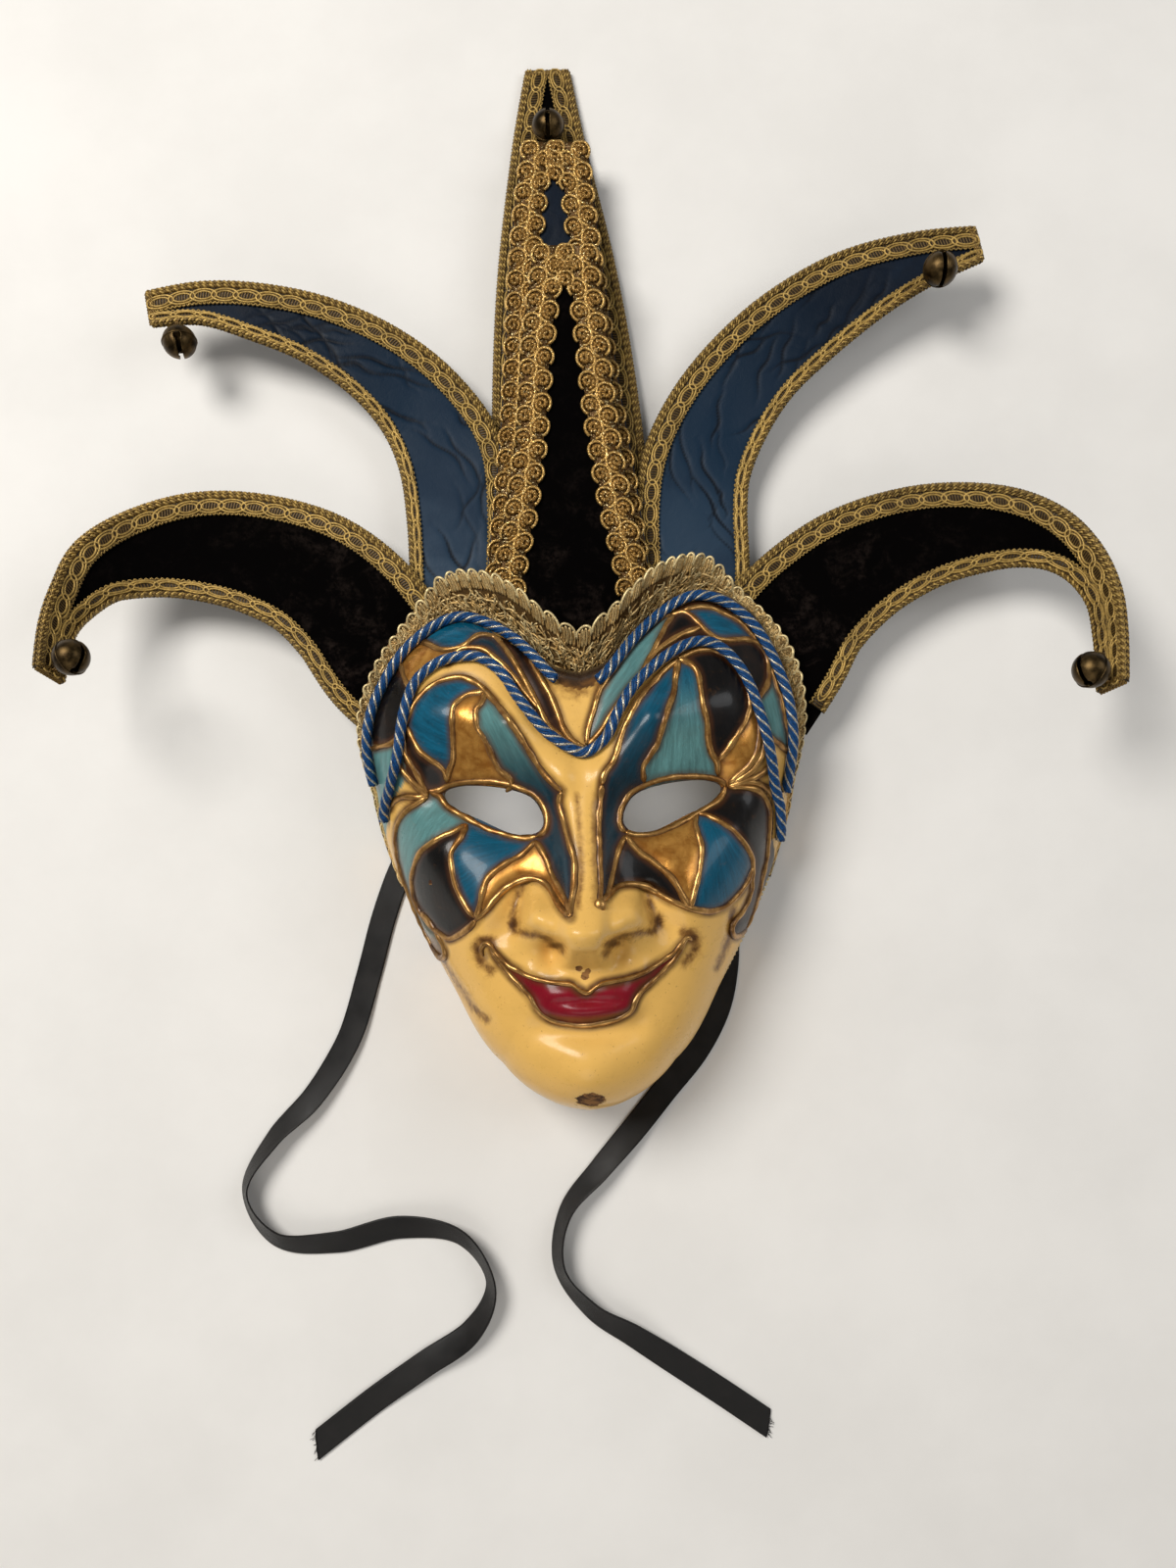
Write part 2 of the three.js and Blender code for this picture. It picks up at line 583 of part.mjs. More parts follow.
function buildRuffle() {
  const sections = [];
  const steps = 2 * RUFFLE_GATHERS;
  for (let i = 0; i <= steps; i += 1) {
    const angle = THREE.MathUtils.degToRad(lerp(-RUFFLE_TO, RUFFLE_TO, i / steps));
    const share = Math.abs(THREE.MathUtils.radToDeg(angle)) / RUFFLE_TO;
    const crest = i % 2;
    const wide = column(RUFFLE, angle < 0 ? 'left' : 'right', share) + RUFFLE_SCALLOP * crest;
    const ray = new THREE.Vector3(Math.sin(angle), Math.cos(angle), 0);
    const foot = place(facetedRim(angle), rimOutward(angle), UP, RUFFLE_GAP, RUFFLE_GAP);
    const edge = place(foot, ray, UP, wide, RUFFLE_RISE * wide + RUFFLE_WAVE * crest);
    const raise = (base) => base.clone().addScaledVector(UP, RUFFLE_THICK);
    sections.push([foot, edge, raise(edge), raise(foot)]);
  }
  piece('edge_ruffle', loft(sections), 'galloon');
}

// Horns

function hornCentre(rows, share) {
  return new THREE.Vector3(column(rows, 'x', share), column(rows, 'y', share), column(rows, 'z', share));
}

// Place on a horn at a share of its length: centre, way across the cloth, way out of its front and half width
function hornStation(rows, share) {
  const before = hornCentre(rows, Math.max(0, share - CURVE_STEP));
  const ahead = hornCentre(rows, Math.min(1, share + CURVE_STEP)).sub(before).normalize();
  const level = UP.clone().cross(ahead).normalize();
  const upright = ahead.clone().cross(level);
  const turn = THREE.MathUtils.degToRad(column(rows, 'turn', share));
  return {
    centre: hornCentre(rows, share),
    ahead,
    side: level.clone().multiplyScalar(Math.cos(turn)).addScaledVector(upright, -Math.sin(turn)),
    front: upright.clone().multiplyScalar(Math.cos(turn)).addScaledVector(level, Math.sin(turn)),
    half: column(rows, 'width', share) / 2,
  };
}

const onHorn = (s, across, high) => place(s.centre, s.side, s.front, across, high);

function panelSection(horn, share) {
  const s = hornStation(horn.rows, share);
  const border = Math.max(BARE_MIDDLE, s.half - TRIMS[horn.kind].wide);
  const stops = [-s.half, -border, border, s.half];
  const front = stops.map((across) => onHorn(s, across, PANEL / 2));
  const back = stops.map((across) => onHorn(s, across, -PANEL / 2));
  return [...front, ...back.reverse()];
}

function trimSection(horn, share, edge) {
  const s = hornStation(horn.rows, share);
  const inner = edge * Math.max(-TRIM_MEET, s.half - TRIMS[horn.kind].wide);
  const outer = edge * (s.half + TRIM_OVERHANG);
  const low = PANEL / 2 + TRIM_GAP;
  const high = low + TRIMS[horn.kind].thick;
  const [left, right] = edge > 0 ? [inner, outer] : [outer, inner];
  return [onHorn(s, left, low), onHorn(s, right, low), onHorn(s, right, high), onHorn(s, left, high)];
}

function buildHorn(horn) {
  const shares = Array.from({ length: horn.steps + 1 }, (_, i) => i / horn.steps);
  piece(horn.name, loft(shares.map((share) => panelSection(horn, share))), horn.cloth);
  const trimmed = shares.slice(horn.from);
  const strip = (edge) => toSolid(loft(trimmed.map((share) => trimSection(horn, share, edge))));
  piece(horn.trim, toGeometry(strip(-1).add(strip(1))), 'gold');
}

// Bells: hollow balls with a slot and a stub of thread

function bellSolid() {
  const sphere = (radius) => new THREE.SphereGeometry(radius, BELL_SIDES, BELL_RINGS).rotateX(Math.PI / 2);
  const ball = (radius) => toSolid(sphere(radius));
  const slot = new THREE.BoxGeometry(BELL_SLOT, 3 * BELL_RADIUS, BELL_RADIUS);
  slot.translate(0, 0, BELL_SLOT_HIGH);
  const loop = new THREE.CylinderGeometry(LOOP_RADIUS, LOOP_RADIUS, LOOP_LONG + BELL_WALL / 2, LOOP_SIDES);
  loop.rotateX(Math.PI / 2).translate(0, 0, -BELL_RADIUS - LOOP_LONG / 2 + BELL_WALL / 4);
  const hollow = ball(BELL_RADIUS).add(toSolid(loop)).subtract(ball(BELL_RADIUS - BELL_WALL));
  return hollow.subtract(toSolid(slot));
}

function buildBells() {
  const geometry = toGeometry(bellSolid());
  for (const bell of BELLS) {
    const horn = HORNS.find((row) => row.name === bell.horn);
    const s = hornStation(horn.rows, bell.along);
    const cloth = PANEL / 2;
    const thick = TRIMS[horn.kind].thick;
    const seat = { cloth, edge: cloth + TRIM_GAP + thick / 2, trim: cloth + TRIM_GAP + thick };
    const across = bell.across * (s.half + TRIM_OVERHANG);
    const out = THREE.MathUtils.degToRad(bell.out);
    const way = s.front.clone().multiplyScalar(Math.cos(out)).addScaledVector(s.side, Math.sin(out));
    const mesh = piece(bell.name, geometry.clone(), 'brass');
    const tilt = Math.min(Math.abs(way.dot(s.side)), Math.abs(way.dot(s.front)));
    const away = BELL_RADIUS + LOOP_LONG + SEAT_GAP + LOOP_RADIUS * tilt;
    mesh.position.copy(onHorn(s, across, seat[bell.on])).addScaledVector(way, away);
    mesh.quaternion.setFromUnitVectors(UP, way);
  }
}

// Ribbons

function ribbonCentre(rows, share) {
  const lean = THREE.MathUtils.degToRad(column(rows, 'lean', share));
  const half = (RIBBON_THICK / 2) * Math.abs(Math.cos(lean)) + (RIBBON_WIDE / 2) * Math.abs(Math.sin(lean));
  return new THREE.Vector3(column(rows, 'x', share), column(rows, 'y', share), RIBBON_CLEAR + half);
}

function ribbonSection(rows, share) {
  const before = ribbonCentre(rows, Math.max(0, share - CURVE_STEP));
  const ahead = ribbonCentre(rows, Math.min(1, share + CURVE_STEP)).sub(before);
  const level = UP.clone().cross(ahead).normalize();
  const lean = THREE.MathUtils.degToRad(column(rows, 'lean', share));
  const across = level.clone().multiplyScalar(Math.cos(lean)).addScaledVector(UP, Math.sin(lean));
  const normal = UP.clone().multiplyScalar(Math.cos(lean)).addScaledVector(level, -Math.sin(lean));
  const centre = ribbonCentre(rows, share);
  const half = RIBBON_WIDE / 2;
  const thin = RIBBON_THICK / 2;
  const stops = [[-half, -thin], [half, -thin], [half, thin], [-half, thin]];
  return stops.map(([sideways, high]) => place(centre, across, normal, sideways, high));
}

function buildRibbons() {
  for (const ribbon of RIBBONS) {
    const sections = [];
    for (let i = 0; i <= RIBBON_STEPS; i += 1) sections.push(ribbonSection(ribbon.rows, i / RIBBON_STEPS));
    piece(ribbon.name, loft(sections), 'ribbon');
  }
}

buildFace();
buildOuterCords();
buildRuffle();
HORNS.forEach(buildHorn);
buildBells();

// The origin is under the middle of the mask without its loose ribbons
mask.updateMatrixWorld(true);
const bounds = new THREE.Box3().setFromObject(mask);
buildRibbons();
mask.position.set(-(bounds.min.x + bounds.max.x) / 2, -(bounds.min.y + bounds.max.y) / 2, -bounds.min.z);

export default mask;
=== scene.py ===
import math
from collections import deque

import bpy
import numpy as np
from mathutils import Matrix, Vector


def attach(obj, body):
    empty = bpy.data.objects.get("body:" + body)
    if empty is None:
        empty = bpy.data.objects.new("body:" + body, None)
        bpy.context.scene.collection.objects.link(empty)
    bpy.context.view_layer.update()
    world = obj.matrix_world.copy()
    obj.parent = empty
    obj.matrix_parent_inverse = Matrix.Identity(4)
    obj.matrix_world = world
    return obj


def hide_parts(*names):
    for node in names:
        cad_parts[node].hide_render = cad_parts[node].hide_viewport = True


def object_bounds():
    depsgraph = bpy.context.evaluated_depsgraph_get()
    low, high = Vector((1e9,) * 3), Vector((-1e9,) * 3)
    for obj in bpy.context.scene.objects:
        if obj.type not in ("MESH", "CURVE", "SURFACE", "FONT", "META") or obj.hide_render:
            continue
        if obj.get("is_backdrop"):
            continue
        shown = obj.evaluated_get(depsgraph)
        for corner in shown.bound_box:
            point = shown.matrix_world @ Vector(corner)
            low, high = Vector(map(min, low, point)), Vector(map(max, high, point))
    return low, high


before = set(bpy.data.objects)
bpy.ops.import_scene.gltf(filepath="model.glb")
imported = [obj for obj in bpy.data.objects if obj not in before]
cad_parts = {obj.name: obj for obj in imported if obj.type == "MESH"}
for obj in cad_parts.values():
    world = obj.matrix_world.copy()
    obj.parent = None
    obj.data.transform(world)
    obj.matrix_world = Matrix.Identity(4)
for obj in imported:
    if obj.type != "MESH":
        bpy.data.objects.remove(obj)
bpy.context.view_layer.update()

MM = 0.001
# From the millimetres used below, with the chin at y 1, to the shared frame
SHIFT = np.array([-1.56, -219.04, 0.0])
UP = np.array([0.0, 0.0, 1.0])
TURN = 2 * math.pi
dice = np.random.default_rng(7)


def to_frame(points):
    return (np.asarray(points, float) + SHIFT) * MM


def placed(name, data):
    thing = bpy.data.objects.new(name, data)
    bpy.context.collection.objects.link(thing)
    return thing


# Camera at the photo's angle, above the lying mask
TILT, ROLL = math.radians(4.9), math.radians(1.4)
CAMERA_SPOT, CAMERA_LENS, CAMERA_SENSOR = (2, 85.6, 484), 27.07, 36
forward = Vector((0, math.sin(TILT), -math.cos(TILT)))
above = Vector((0, math.cos(TILT), math.sin(TILT)))
right = forward.cross(above)
cam_right = right * math.cos(ROLL) - above * math.sin(ROLL)
cam_up = above * math.cos(ROLL) + right * math.sin(ROLL)
lens = bpy.data.cameras.new("camera")
lens.lens = CAMERA_LENS
lens.sensor_width = CAMERA_SENSOR
lens.dof.use_dof = False
lens.clip_start = 0.01
camera = placed("camera", lens)
axes = Matrix((cam_right, cam_up, -forward)).transposed().to_4x4()
axes.translation = Vector(to_frame(CAMERA_SPOT))
camera.matrix_world = axes
bpy.context.scene.camera = camera


class Look:
    """A node material round one shader."""

    def __init__(self, name, rough=0.5, metal=0.0, **values):
        self.made = bpy.data.materials.new(name)
        self.made.use_nodes = True
        self.tree = self.made.node_tree
        self.body = self.tree.nodes["Principled BSDF"]
        self.put("Roughness", rough)
        self.put("Metallic", metal)
        for key, value in values.items():
            self.put(key.replace("_", " "), value)

    def join(self, socket, value):
        if isinstance(value, bpy.types.NodeSocket):
            self.tree.links.new(value, socket)
        elif isinstance(value, tuple) and len(value) == 3 and socket.type == "RGBA":
            socket.default_value = (*value, 1.0)
        else:
            socket.default_value = value

    def put(self, name, value):
        self.join(self.body.inputs[name], value)

    def base(self, share, a, b):
        self.put("Base Color", self.mix(share, a, b))

    def node(self, kind, inputs=None, **settings):
        made = self.tree.nodes.new(kind)
        for key, value in settings.items():
            setattr(made, key, value)
        for key, value in (inputs or {}).items():
            self.join(made.inputs[key], value)
        return made

    def place(self):
        return self.node("ShaderNodeTexCoord").outputs["Object"]

    def tag(self, name, out="Fac"):
        return self.node("ShaderNodeAttribute", attribute_name=name).outputs[out]

    def noise(self, scale, detail=3.0, rough=0.55, warp=0.0, where=None):
        where = self.place() if where is None else where
        inputs = {"Vector": where, "Scale": scale, "Detail": detail, "Roughness": rough, "Distortion": warp}
        return self.node("ShaderNodeTexNoise", inputs).outputs["Fac"]

    def cells(self, scale):
        inputs = {"Vector": self.place(), "Scale": scale}
        return self.node("ShaderNodeTexVoronoi", inputs, feature="DISTANCE_TO_EDGE").outputs["Distance"]

    def calc(self, op, a, b):
        return self.node("ShaderNodeMath", {0: a, 1: b}, operation=op).outputs[0]

    def times(self, a, b):
        return self.calc("MULTIPLY", a, b)

    def span(self, value, low, high, to_low=0.0, to_high=1.0):
        inputs = {"Value": value, "From Min": low, "From Max": high, "To Min": to_low, "To Max": to_high}
        return self.node("ShaderNodeMapRange", inputs, interpolation_type="SMOOTHSTEP").outputs["Result"]

    def mix(self, share, a, b):
        # Sockets 6 and 7 are the node's two colours, and output 2 is their mixture
        return self.node("ShaderNodeMix", {"Factor": share, 6: a, 7: b}, data_type="RGBA").outputs[2]

    def stretch(self, vector, x, y, z):
        return self.node("ShaderNodeVectorMath", {0: vector, 1: (x, y, z)}, operation="MULTIPLY").outputs[0]

    def bump(self, height, strength, distance, before=None):
        made = self.node("ShaderNodeBump", {"Strength": strength, "Distance": distance, "Height": height})
        if before is not None:
            self.join(made.inputs["Normal"], before)
        self.put("Normal", made.outputs["Normal"])
        return made.outputs["Normal"]

    def yarns(self, dark, middle, light):
        """Colour of trim by the tone of each yarn."""
        tone = self.tag("tone")
        return self.mix(self.span(tone, 0.5, 1.0), self.mix(self.span(tone, 0.0, 0.5), dark, middle), light)


def linear(red, green, blue):
    values = [v / 255 for v in (red, green, blue)]
    return tuple(v / 12.92 if v < 0.04045 else ((v + 0.055) / 1.055) ** 2.4 for v in values)


def label(mesh, key, kind, values):
    """Keeps a number, colour or vector for each vertex, which a look reads by its name."""
    field = {"FLOAT": "value", "FLOAT_COLOR": "color", "FLOAT_VECTOR": "vector"}[kind]
    mesh.attributes.new(key, kind, "POINT").data.foreach_set(field, values.astype(np.float32).ravel())


class Heap:
    """Bodies, each of points and blocks of faces, in one mesh with two numbers per vertex: tone and run."""

    def __init__(self):
        self.points, self.faces, self.tone, self.run, self.count = [], [], [], [], 0

    def add(self, body, tone=0.0, run=0.0, paint=0):
        points = np.asarray(body[0], float).reshape(-1, 3)
        self.points.append(points)
        for block in body[1]:
            self.faces.append((np.asarray(block) + self.count, paint))
        self.tone.append(np.broadcast_to(np.asarray(tone, float).ravel(), len(points)))
        self.run.append(np.broadcast_to(np.asarray(run, float).ravel(), len(points)))
        self.count += len(points)

    def build(self, name, looks, node):
        flat = np.concatenate([block.ravel() for block, _ in self.faces])
        sizes = np.concatenate([np.full(len(block), block.shape[1]) for block, _ in self.faces])
        paints = np.concatenate([np.full(len(block), paint) for block, paint in self.faces])
        mesh = bpy.data.meshes.new(name)
        mesh.vertices.add(self.count)
        mesh.vertices.foreach_set("co", to_frame(np.vstack(self.points)).ravel())
        mesh.loops.add(len(flat))
        mesh.loops.foreach_set("vertex_index", flat.astype(np.int32))
        mesh.polygons.add(len(sizes))
        mesh.polygons.foreach_set("loop_start", np.concatenate([[0], np.cumsum(sizes)[:-1]]).astype(np.int32))
        mesh.polygons.foreach_set("material_index", paints.astype(np.int32))
        mesh.polygons.foreach_set("use_smooth", np.ones(len(sizes), bool))
        mesh.update(calc_edges=True)
        for look in looks:
            mesh.materials.append(look)
        label(mesh, "tone", "FLOAT", np.concatenate(self.tone))
        label(mesh, "run", "FLOAT", np.concatenate(self.run))
        thing = placed(name, mesh)
        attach(thing, "root")
        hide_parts(node)
        return thing


def plain_mesh(name, bodies):
    verts, polys = [], []
    for points, blocks in bodies:
        base = len(verts)
        verts += [tuple(p) for p in points]
        polys += [tuple(int(i) + base for i in f) for block in blocks for f in block]
    mesh = bpy.data.meshes.new(name)
    mesh.from_pydata(verts, [], polys)
    return placed(name, mesh)


def cut_away(thing, knife):
    cut = thing.modifiers.new("cut", "BOOLEAN")
    cut.operation = "DIFFERENCE"
    cut.solver = "MANIFOLD"
    cut.object = knife
    with bpy.context.temp_override(object=thing, active_object=thing, selected_objects=[thing]):
        bpy.ops.object.modifier_apply(modifier=cut.name)
    bpy.data.objects.remove(knife)


def unit(v):
    return v / np.maximum(np.linalg.norm(v, axis=-1, keepdims=True), 1e-12)


def outwards(v, points, middle):
    """Turns each vector to point away from the middle."""
    return v * np.sign(np.sum(v * (points - np.array(middle)), axis=-1, keepdims=True))


def circle(count):
    return np.linspace(0, TURN, count, endpoint=False)


def ball(sides, rings, gap):
    """Rings of points on a ball of radius 1, with a gap left at both poles."""
    turn, rise = np.meshgrid(circle(sides), np.linspace(gap, 1 - gap, rings) * math.pi)
    return np.stack([np.sin(rise) * np.cos(turn), np.sin(rise) * np.sin(turn), np.cos(rise)], -1)


def grid_faces(rows, columns, wrap_rows=False, start=0):
    """Faces between rows of points, each row a closed ring."""
    i = np.arange(rows if wrap_rows else rows - 1)
    i, k = np.meshgrid(i, np.arange(columns), indexing="ij")
    j, m = (i + 1) % rows, (k + 1) % columns
    quads = np.stack([i * columns + k, i * columns + m, j * columns + m, j * columns + k], -1)
    return quads.reshape(-1, 4) + start


def tubes(paths, ups, radius, sides=6, closed=False, flat=1.0):
    """Round strands along paths of equal length; flat squashes them along up. Gives points and faces."""
    paths = np.asarray(paths, float)
    if paths.ndim == 2:
        paths = paths[None]
    ups = np.broadcast_to(np.asarray(ups, float), paths.shape)
    many, steps = paths.shape[:2]
    if closed:
        ahead = np.roll(paths, -1, 1) - np.roll(paths, 1, 1)
    else:
        ahead = np.gradient(paths, axis=1)
    ahead = unit(ahead)
    side = unit(np.cross(ups, ahead))
    rise = np.cross(ahead, side)
    turn = circle(sides)
    thick = np.broadcast_to(np.asarray(radius, float), paths.shape[:2])[..., None, None]
    ring = side[:, :, None] * np.cos(turn)[:, None] + rise[:, :, None] * (flat * np.sin(turn))[:, None]
    points = paths[:, :, None] + ring * thick
    quads = grid_faces(steps, sides, closed)
    starts = np.arange(many) * steps * sides
    blocks = [(quads[None] + starts[:, None, None]).reshape(-1, 4)]
    if not closed:
        first = np.arange(sides)[::-1]
        last = np.arange(sides) + (steps - 1) * sides
        blocks.append(np.vstack([first + starts[:, None], last + starts[:, None]]))
    return points.reshape(-1, 3), blocks


def sweep(rings):
    """A body from rings of points, shaped (steps, ring, 3), with both ends shut."""
    steps, ring = rings.shape[:2]
    ends = [np.arange(ring)[::-1][None], (np.arange(ring) + (steps - 1) * ring)[None]]
    return right_way(rings.reshape(-1, 3), [grid_faces(steps, ring), *ends])


def right_way(points, blocks):
    """Turns every face over if the body is inside out."""
    volume = 0.0
    for block in blocks:
        for k in range(1, block.shape[1] - 1):
            a, b, c = points[block[:, 0]], points[block[:, k]], points[block[:, k + 1]]
            volume += np.einsum("ij,ij->", a, np.cross(b, c))
    return points, [block[:, ::-1] if volume < 0 else block for block in blocks]


def curve(before, start, end, after, f):
    """A smooth curve from start to end, heading by the points before and after."""
    leave, arrive, rise = (end - before) / 2, (after - start) / 2, end - start
    return start + f * leave + f**2 * (3 * rise - 2 * leave - arrive) + f**3 * (leave + arrive - 2 * rise)


def spline(points, step=0.6, closed=False):
    given = np.array(points, float)
    many = len(given)
    made = []
    for i in range(many if closed else many - 1):
        near = [given[k % many] if closed else given[min(max(k, 0), many - 1)] for k in range(i - 1, i + 3)]
        count = max(2, int(np.linalg.norm(near[2] - near[1]) / step))
        made.append(curve(*near, (np.arange(count) / count)[:, None]))
    if not closed:
        made.append(given[-1:])
    return np.vstack(made)


def column(values, share):
    """A smooth curve through a column of values, read at shares of its length."""
    v = np.asarray(values, float)
    at = np.asarray(share, float) * (len(v) - 1)
    i = np.clip(np.floor(at).astype(int), 0, len(v) - 2)
    return curve(*(v[np.clip(k, 0, len(v) - 1)] for k in (i - 1, i, i + 1, i + 2)), at - i)


def lengths(path):
    """How far along a path each of its points is."""
    return np.concatenate([[0], np.cumsum(np.linalg.norm(np.diff(path, axis=0), axis=1))])


def between(at, run, field):
    return np.stack([np.interp(at, run, field[:, k]) for k in range(field.shape[1])], -1)


def even_steps(path, step):
    """The same line with points at an even distance, and how far along each is."""
    run = lengths(path)
    at = np.linspace(0, run[-1], max(3, int(round(run[-1] / step)) + 1))
    return between(at, run, path), at


def smooth(value):
    t = np.clip(value, 0, 1)
    return t * t * (3 - 2 * t)


def ripples(u, v, waves, seed):
    """Smooth seeded unevenness from about -1 to 1; waves are cycles per unit of u and v."""
    local = np.random.default_rng(seed)
    total = np.zeros(np.broadcast(u, v).shape)
    cycle = 6.283
    for _ in range(9):
        a, b, c = local.uniform(-1, 1), local.uniform(-1, 1), local.uniform(0, cycle)
        total = total + np.cos(cycle * (a * waves[0] * u + b * waves[1] * v) + c)
    return total / 4.5


# Shape tables, the same as the part's: the rim, the nose and the features of the face
MIDDLE_Y, DEPTH, WALL = 95.0, 61.0, 2.4
LEAN, LEAN_FROM, LEAN_OVER, RELIEF_FADE = 0.09, 125.0, 75.0, 8
# x, y, z, fullness
RIM = np.array([
    (0, 166, 19, 6), (12, 171, 19, 5.5), (29, 186, 19.5, 3.4), (48, 196, 20, 2.8), (66, 188, 20, 2.5),
    (78.5, 170, 20, 2.3), (84.5, 148, 20, 2.2), (82.5, 124, 6, 2.2), (77, 98, 1.5, 2.3), (66, 72, 1.2, 2.6),
    (52, 46, 1.2, 3.0), (33, 18, 0, 3.8), (16, 5, 0, 4.6), (0, 1, 0, 5.0),
])
# y, height, half width
NOSE = np.array([
    (132, 0, 9), (120, 3, 8.5), (105, 8, 8.5), (90, 13, 9), (78, 18, 10), (69, 22, 11), (64, 20, 11),
    (60, 11, 11), (56, 2, 11), (52, 0, 11),
])
# From x, y to x, y, reach and height
FEATURES = [
    (9, 125, 26, 144, 8, 5), (26, 146, 54, 152, 10, 4), (24, 112, 50, 121, 11, -9), (40, 86, 58, 98, 14, 5),
    (36, 64, 36, 64, 8, 3), (0, 51, 20, 54, 5, 3), (0, 42, 13, 44, 6, 4), (0, 33, 16, 36, 6, -3),
    (0, 17, 0, 17, 15, 4), (14, 72, 17, 73, 7, 9), (24, 80, 30, 70, 6, -3),
]
EYE = [
    (14.5, 110), (19, 118), (30, 122), (44, 123.5), (51.5, 121.5), (49, 116), (38, 110.5), (26, 105),
    (17, 105),
]
INNER_CORD = [
    (-75, 112.5), (-74.5, 117), (-71.3, 125), (-67.5, 135), (-65.2, 147.5), (-61.5, 160), (-56.4, 166),
    (-50, 169.5), (-41.6, 170.5), (-35.5, 169), (-28, 162), (-21, 149), (-12, 139), (0, 132.5), (9, 137),
    (14, 147), (21, 158), (33, 169), (41.5, 173.5), (48, 173.7), (54, 170), (59.6, 162), (64.4, 150),
    (68.5, 136), (71.3, 121), (73.3, 114.5), (74, 107), (74, 102),
]
# Outer cords: side, degrees from the crown where each starts and ends, how far out along its ray
OUTER_CORDS = {"left": (-1, 8, 68, 0.95), "right": (1, 6, 72, 0.93)}
# Horn rows: x, y, z, width, turn in degrees
HORNS = {
    "left_black": np.array([
        (-60, 160, 17.5, 50, 0), (-76, 178, 17.5, 55, 0), (-90, 198, 17.5, 54, 0), (-107, 213, 17.7, 51, 0),
        (-129, 222, 18, 47, 0), (-151, 225, 20, 42, 3), (-171, 222, 24, 34, 12), (-186, 214, 31, 26, 28),
        (-194, 201, 38, 18, 45), (-197, 187, 46, 13, 58), (-195, 167, 57, 11, 64),
    ]),
    "left_blue": np.array([
        (-48, 184, 10.5, 38, 0), (-48, 212, 10.5, 39, 0), (-48, 238, 10.5, 41, 0), (-51, 263, 10.8, 42, 0),
        (-63, 285, 12, 37, 0), (-81, 302, 15, 32, 0), (-104, 315, 17.5, 27, 0), (-128, 322, 20.5, 22, 0),
        (-150, 325, 23, 16, 0), (-171, 322, 25, 13, 0),
    ]),
    "back_spike": np.array([
        (0, 180, 7, 66, 0), (-2, 244, 7, 63, 0), (-4, 300, 5.6, 57, 0), (-6, 348, 4, 47, 0),
        (-8, 400, 2.1, 30, 0), (-8, 437, 1, 17, 0),
    ]),
    "middle_spike": np.array([
        (-3, 184, 14, 70, 0), (-4, 212, 14, 66, 0), (-4, 246, 15, 58, 0), (-5, 288, 16, 48, 0),
        (-6, 333, 17, 40, 0), (-6, 367, 17.6, 33, 0), (-5, 393, 18, 27, 0),
    ]),
    "front_spike": np.array([
        (-3, 164, 17.7, 62, 0), (-3, 205, 17.8, 63, 0), (-3, 236, 21, 51, 0), (-3, 269, 23.5, 41, 0),
        (-3, 302, 26, 35, 0), (-2, 342, 29, 25, 0),
    ]),
    "right_blue": np.array([
        (46, 184, 10.5, 40, 0), (47, 212, 10.5, 44, 0), (47, 237, 10.5, 44, 0), (50, 257, 10.8, 43, 0),
        (60, 278, 12, 41, 0), (75, 297, 14.5, 38, 0), (94, 313, 16.5, 36, 0), (117, 327, 19, 31, 0),
        (142, 336, 22.5, 22, 0), (166, 341, 25, 13, 0),
    ]),
    "right_black": np.array([
        (66, 160, 17.5, 58, 0), (79, 178, 17.5, 57, 0), (93, 196, 17.5, 52, 0), (114, 212, 18, 47, 0),
        (140, 222, 19, 40, -2), (166, 224, 22, 32, -10), (184, 219, 27, 24, -25), (195, 208, 34, 17, -42),
        (200, 192, 42, 13, -56), (199, 174, 49, 12, -62), (195, 153, 57, 11, -64),
    ]),
}
# Horn of each bell: along, across, seat over the panel's middle, degrees it leans out
BELLS = {
    "left_black": (0.985, 0, 2.2, 0),
    "left_blue": (0.94, 1, 1.7, 79),
    "back_spike": (0.82, 0, 1.0, 0),
    "right_blue": (0.905, -0.5, 2.2, -31),
    "right_black": (0.985, 0, 2.2, 0),
}
# Tie ribbons, along their middle: x, y, lean in degrees
RIBBONS = {
    "left": [
        (-66, 116, 0), (-70, 105, 0), (-77, 90, 0), (-83, 73, 0), (-89, 51, 0), (-97, 26, 10),
        (-111, 4, 25), (-127, -12, 50), (-138, -32, 65), (-126, -51, 45), (-102, -53, 25), (-77, -48, 20),
        (-53, -52, 45), (-41, -70, 65), (-49, -88, 40), (-68, -101, 12), (-89, -115, 0), (-111, -131, 0),
    ],
    "right": [
        (58, 100, 0), (57, 84, 0), (57, 66, 0), (56, 50, 0), (52, 34, 0), (43, 18, 0), (30, 3, 5),
        (17, -12, 18), (3, -27, 40), (-11, -43, 62), (-14, -64, 62), (-2, -81, 42), (15, -92, 20),
        (33, -104, 5), (51, -116, 0), (67, -127, 0),
    ],
}
# Small forms of the face: x, y, half width, half height, how high
FORMS = [
    (-17.5, 77, 5.5, 5.5, 4.4), (15.5, 77, 5.5, 5.5, 4.4), (-1, 69, 6.5, 7, 3.4), (-9.5, 70, 2.6, 7, -1.6),
    (8, 70, 2.6, 7, -1.6), (-11.5, 62, 4.5, 4.5, -7.5), (10.5, 62, 4.5, 4.5, -7.5),
    (-12.5, 64.5, 5, 2.4, -2.6), (12, 65, 5, 2.4, -2.6), (0, 60.5, 2.6, 3.5, -1.0), (-37, 77, 9, 7, 1.8),
    (36, 76, 9, 7, 1.8), (-38, 61, 4, 4, -1.6), (38, 62, 4, 4, -1.6), (-8, 47.5, 7, 3, 1.4),
    (8, 48, 7, 3, 1.4), (-5, 40.8, 8, 3, 1.9), (7, 41.5, 7, 3, 1.9), (0, 44.8, 13, 1.3, -1.2),
    (0, 32.5, 14, 3.5, -1.4), (0, 17, 11, 9, 1.6),
]
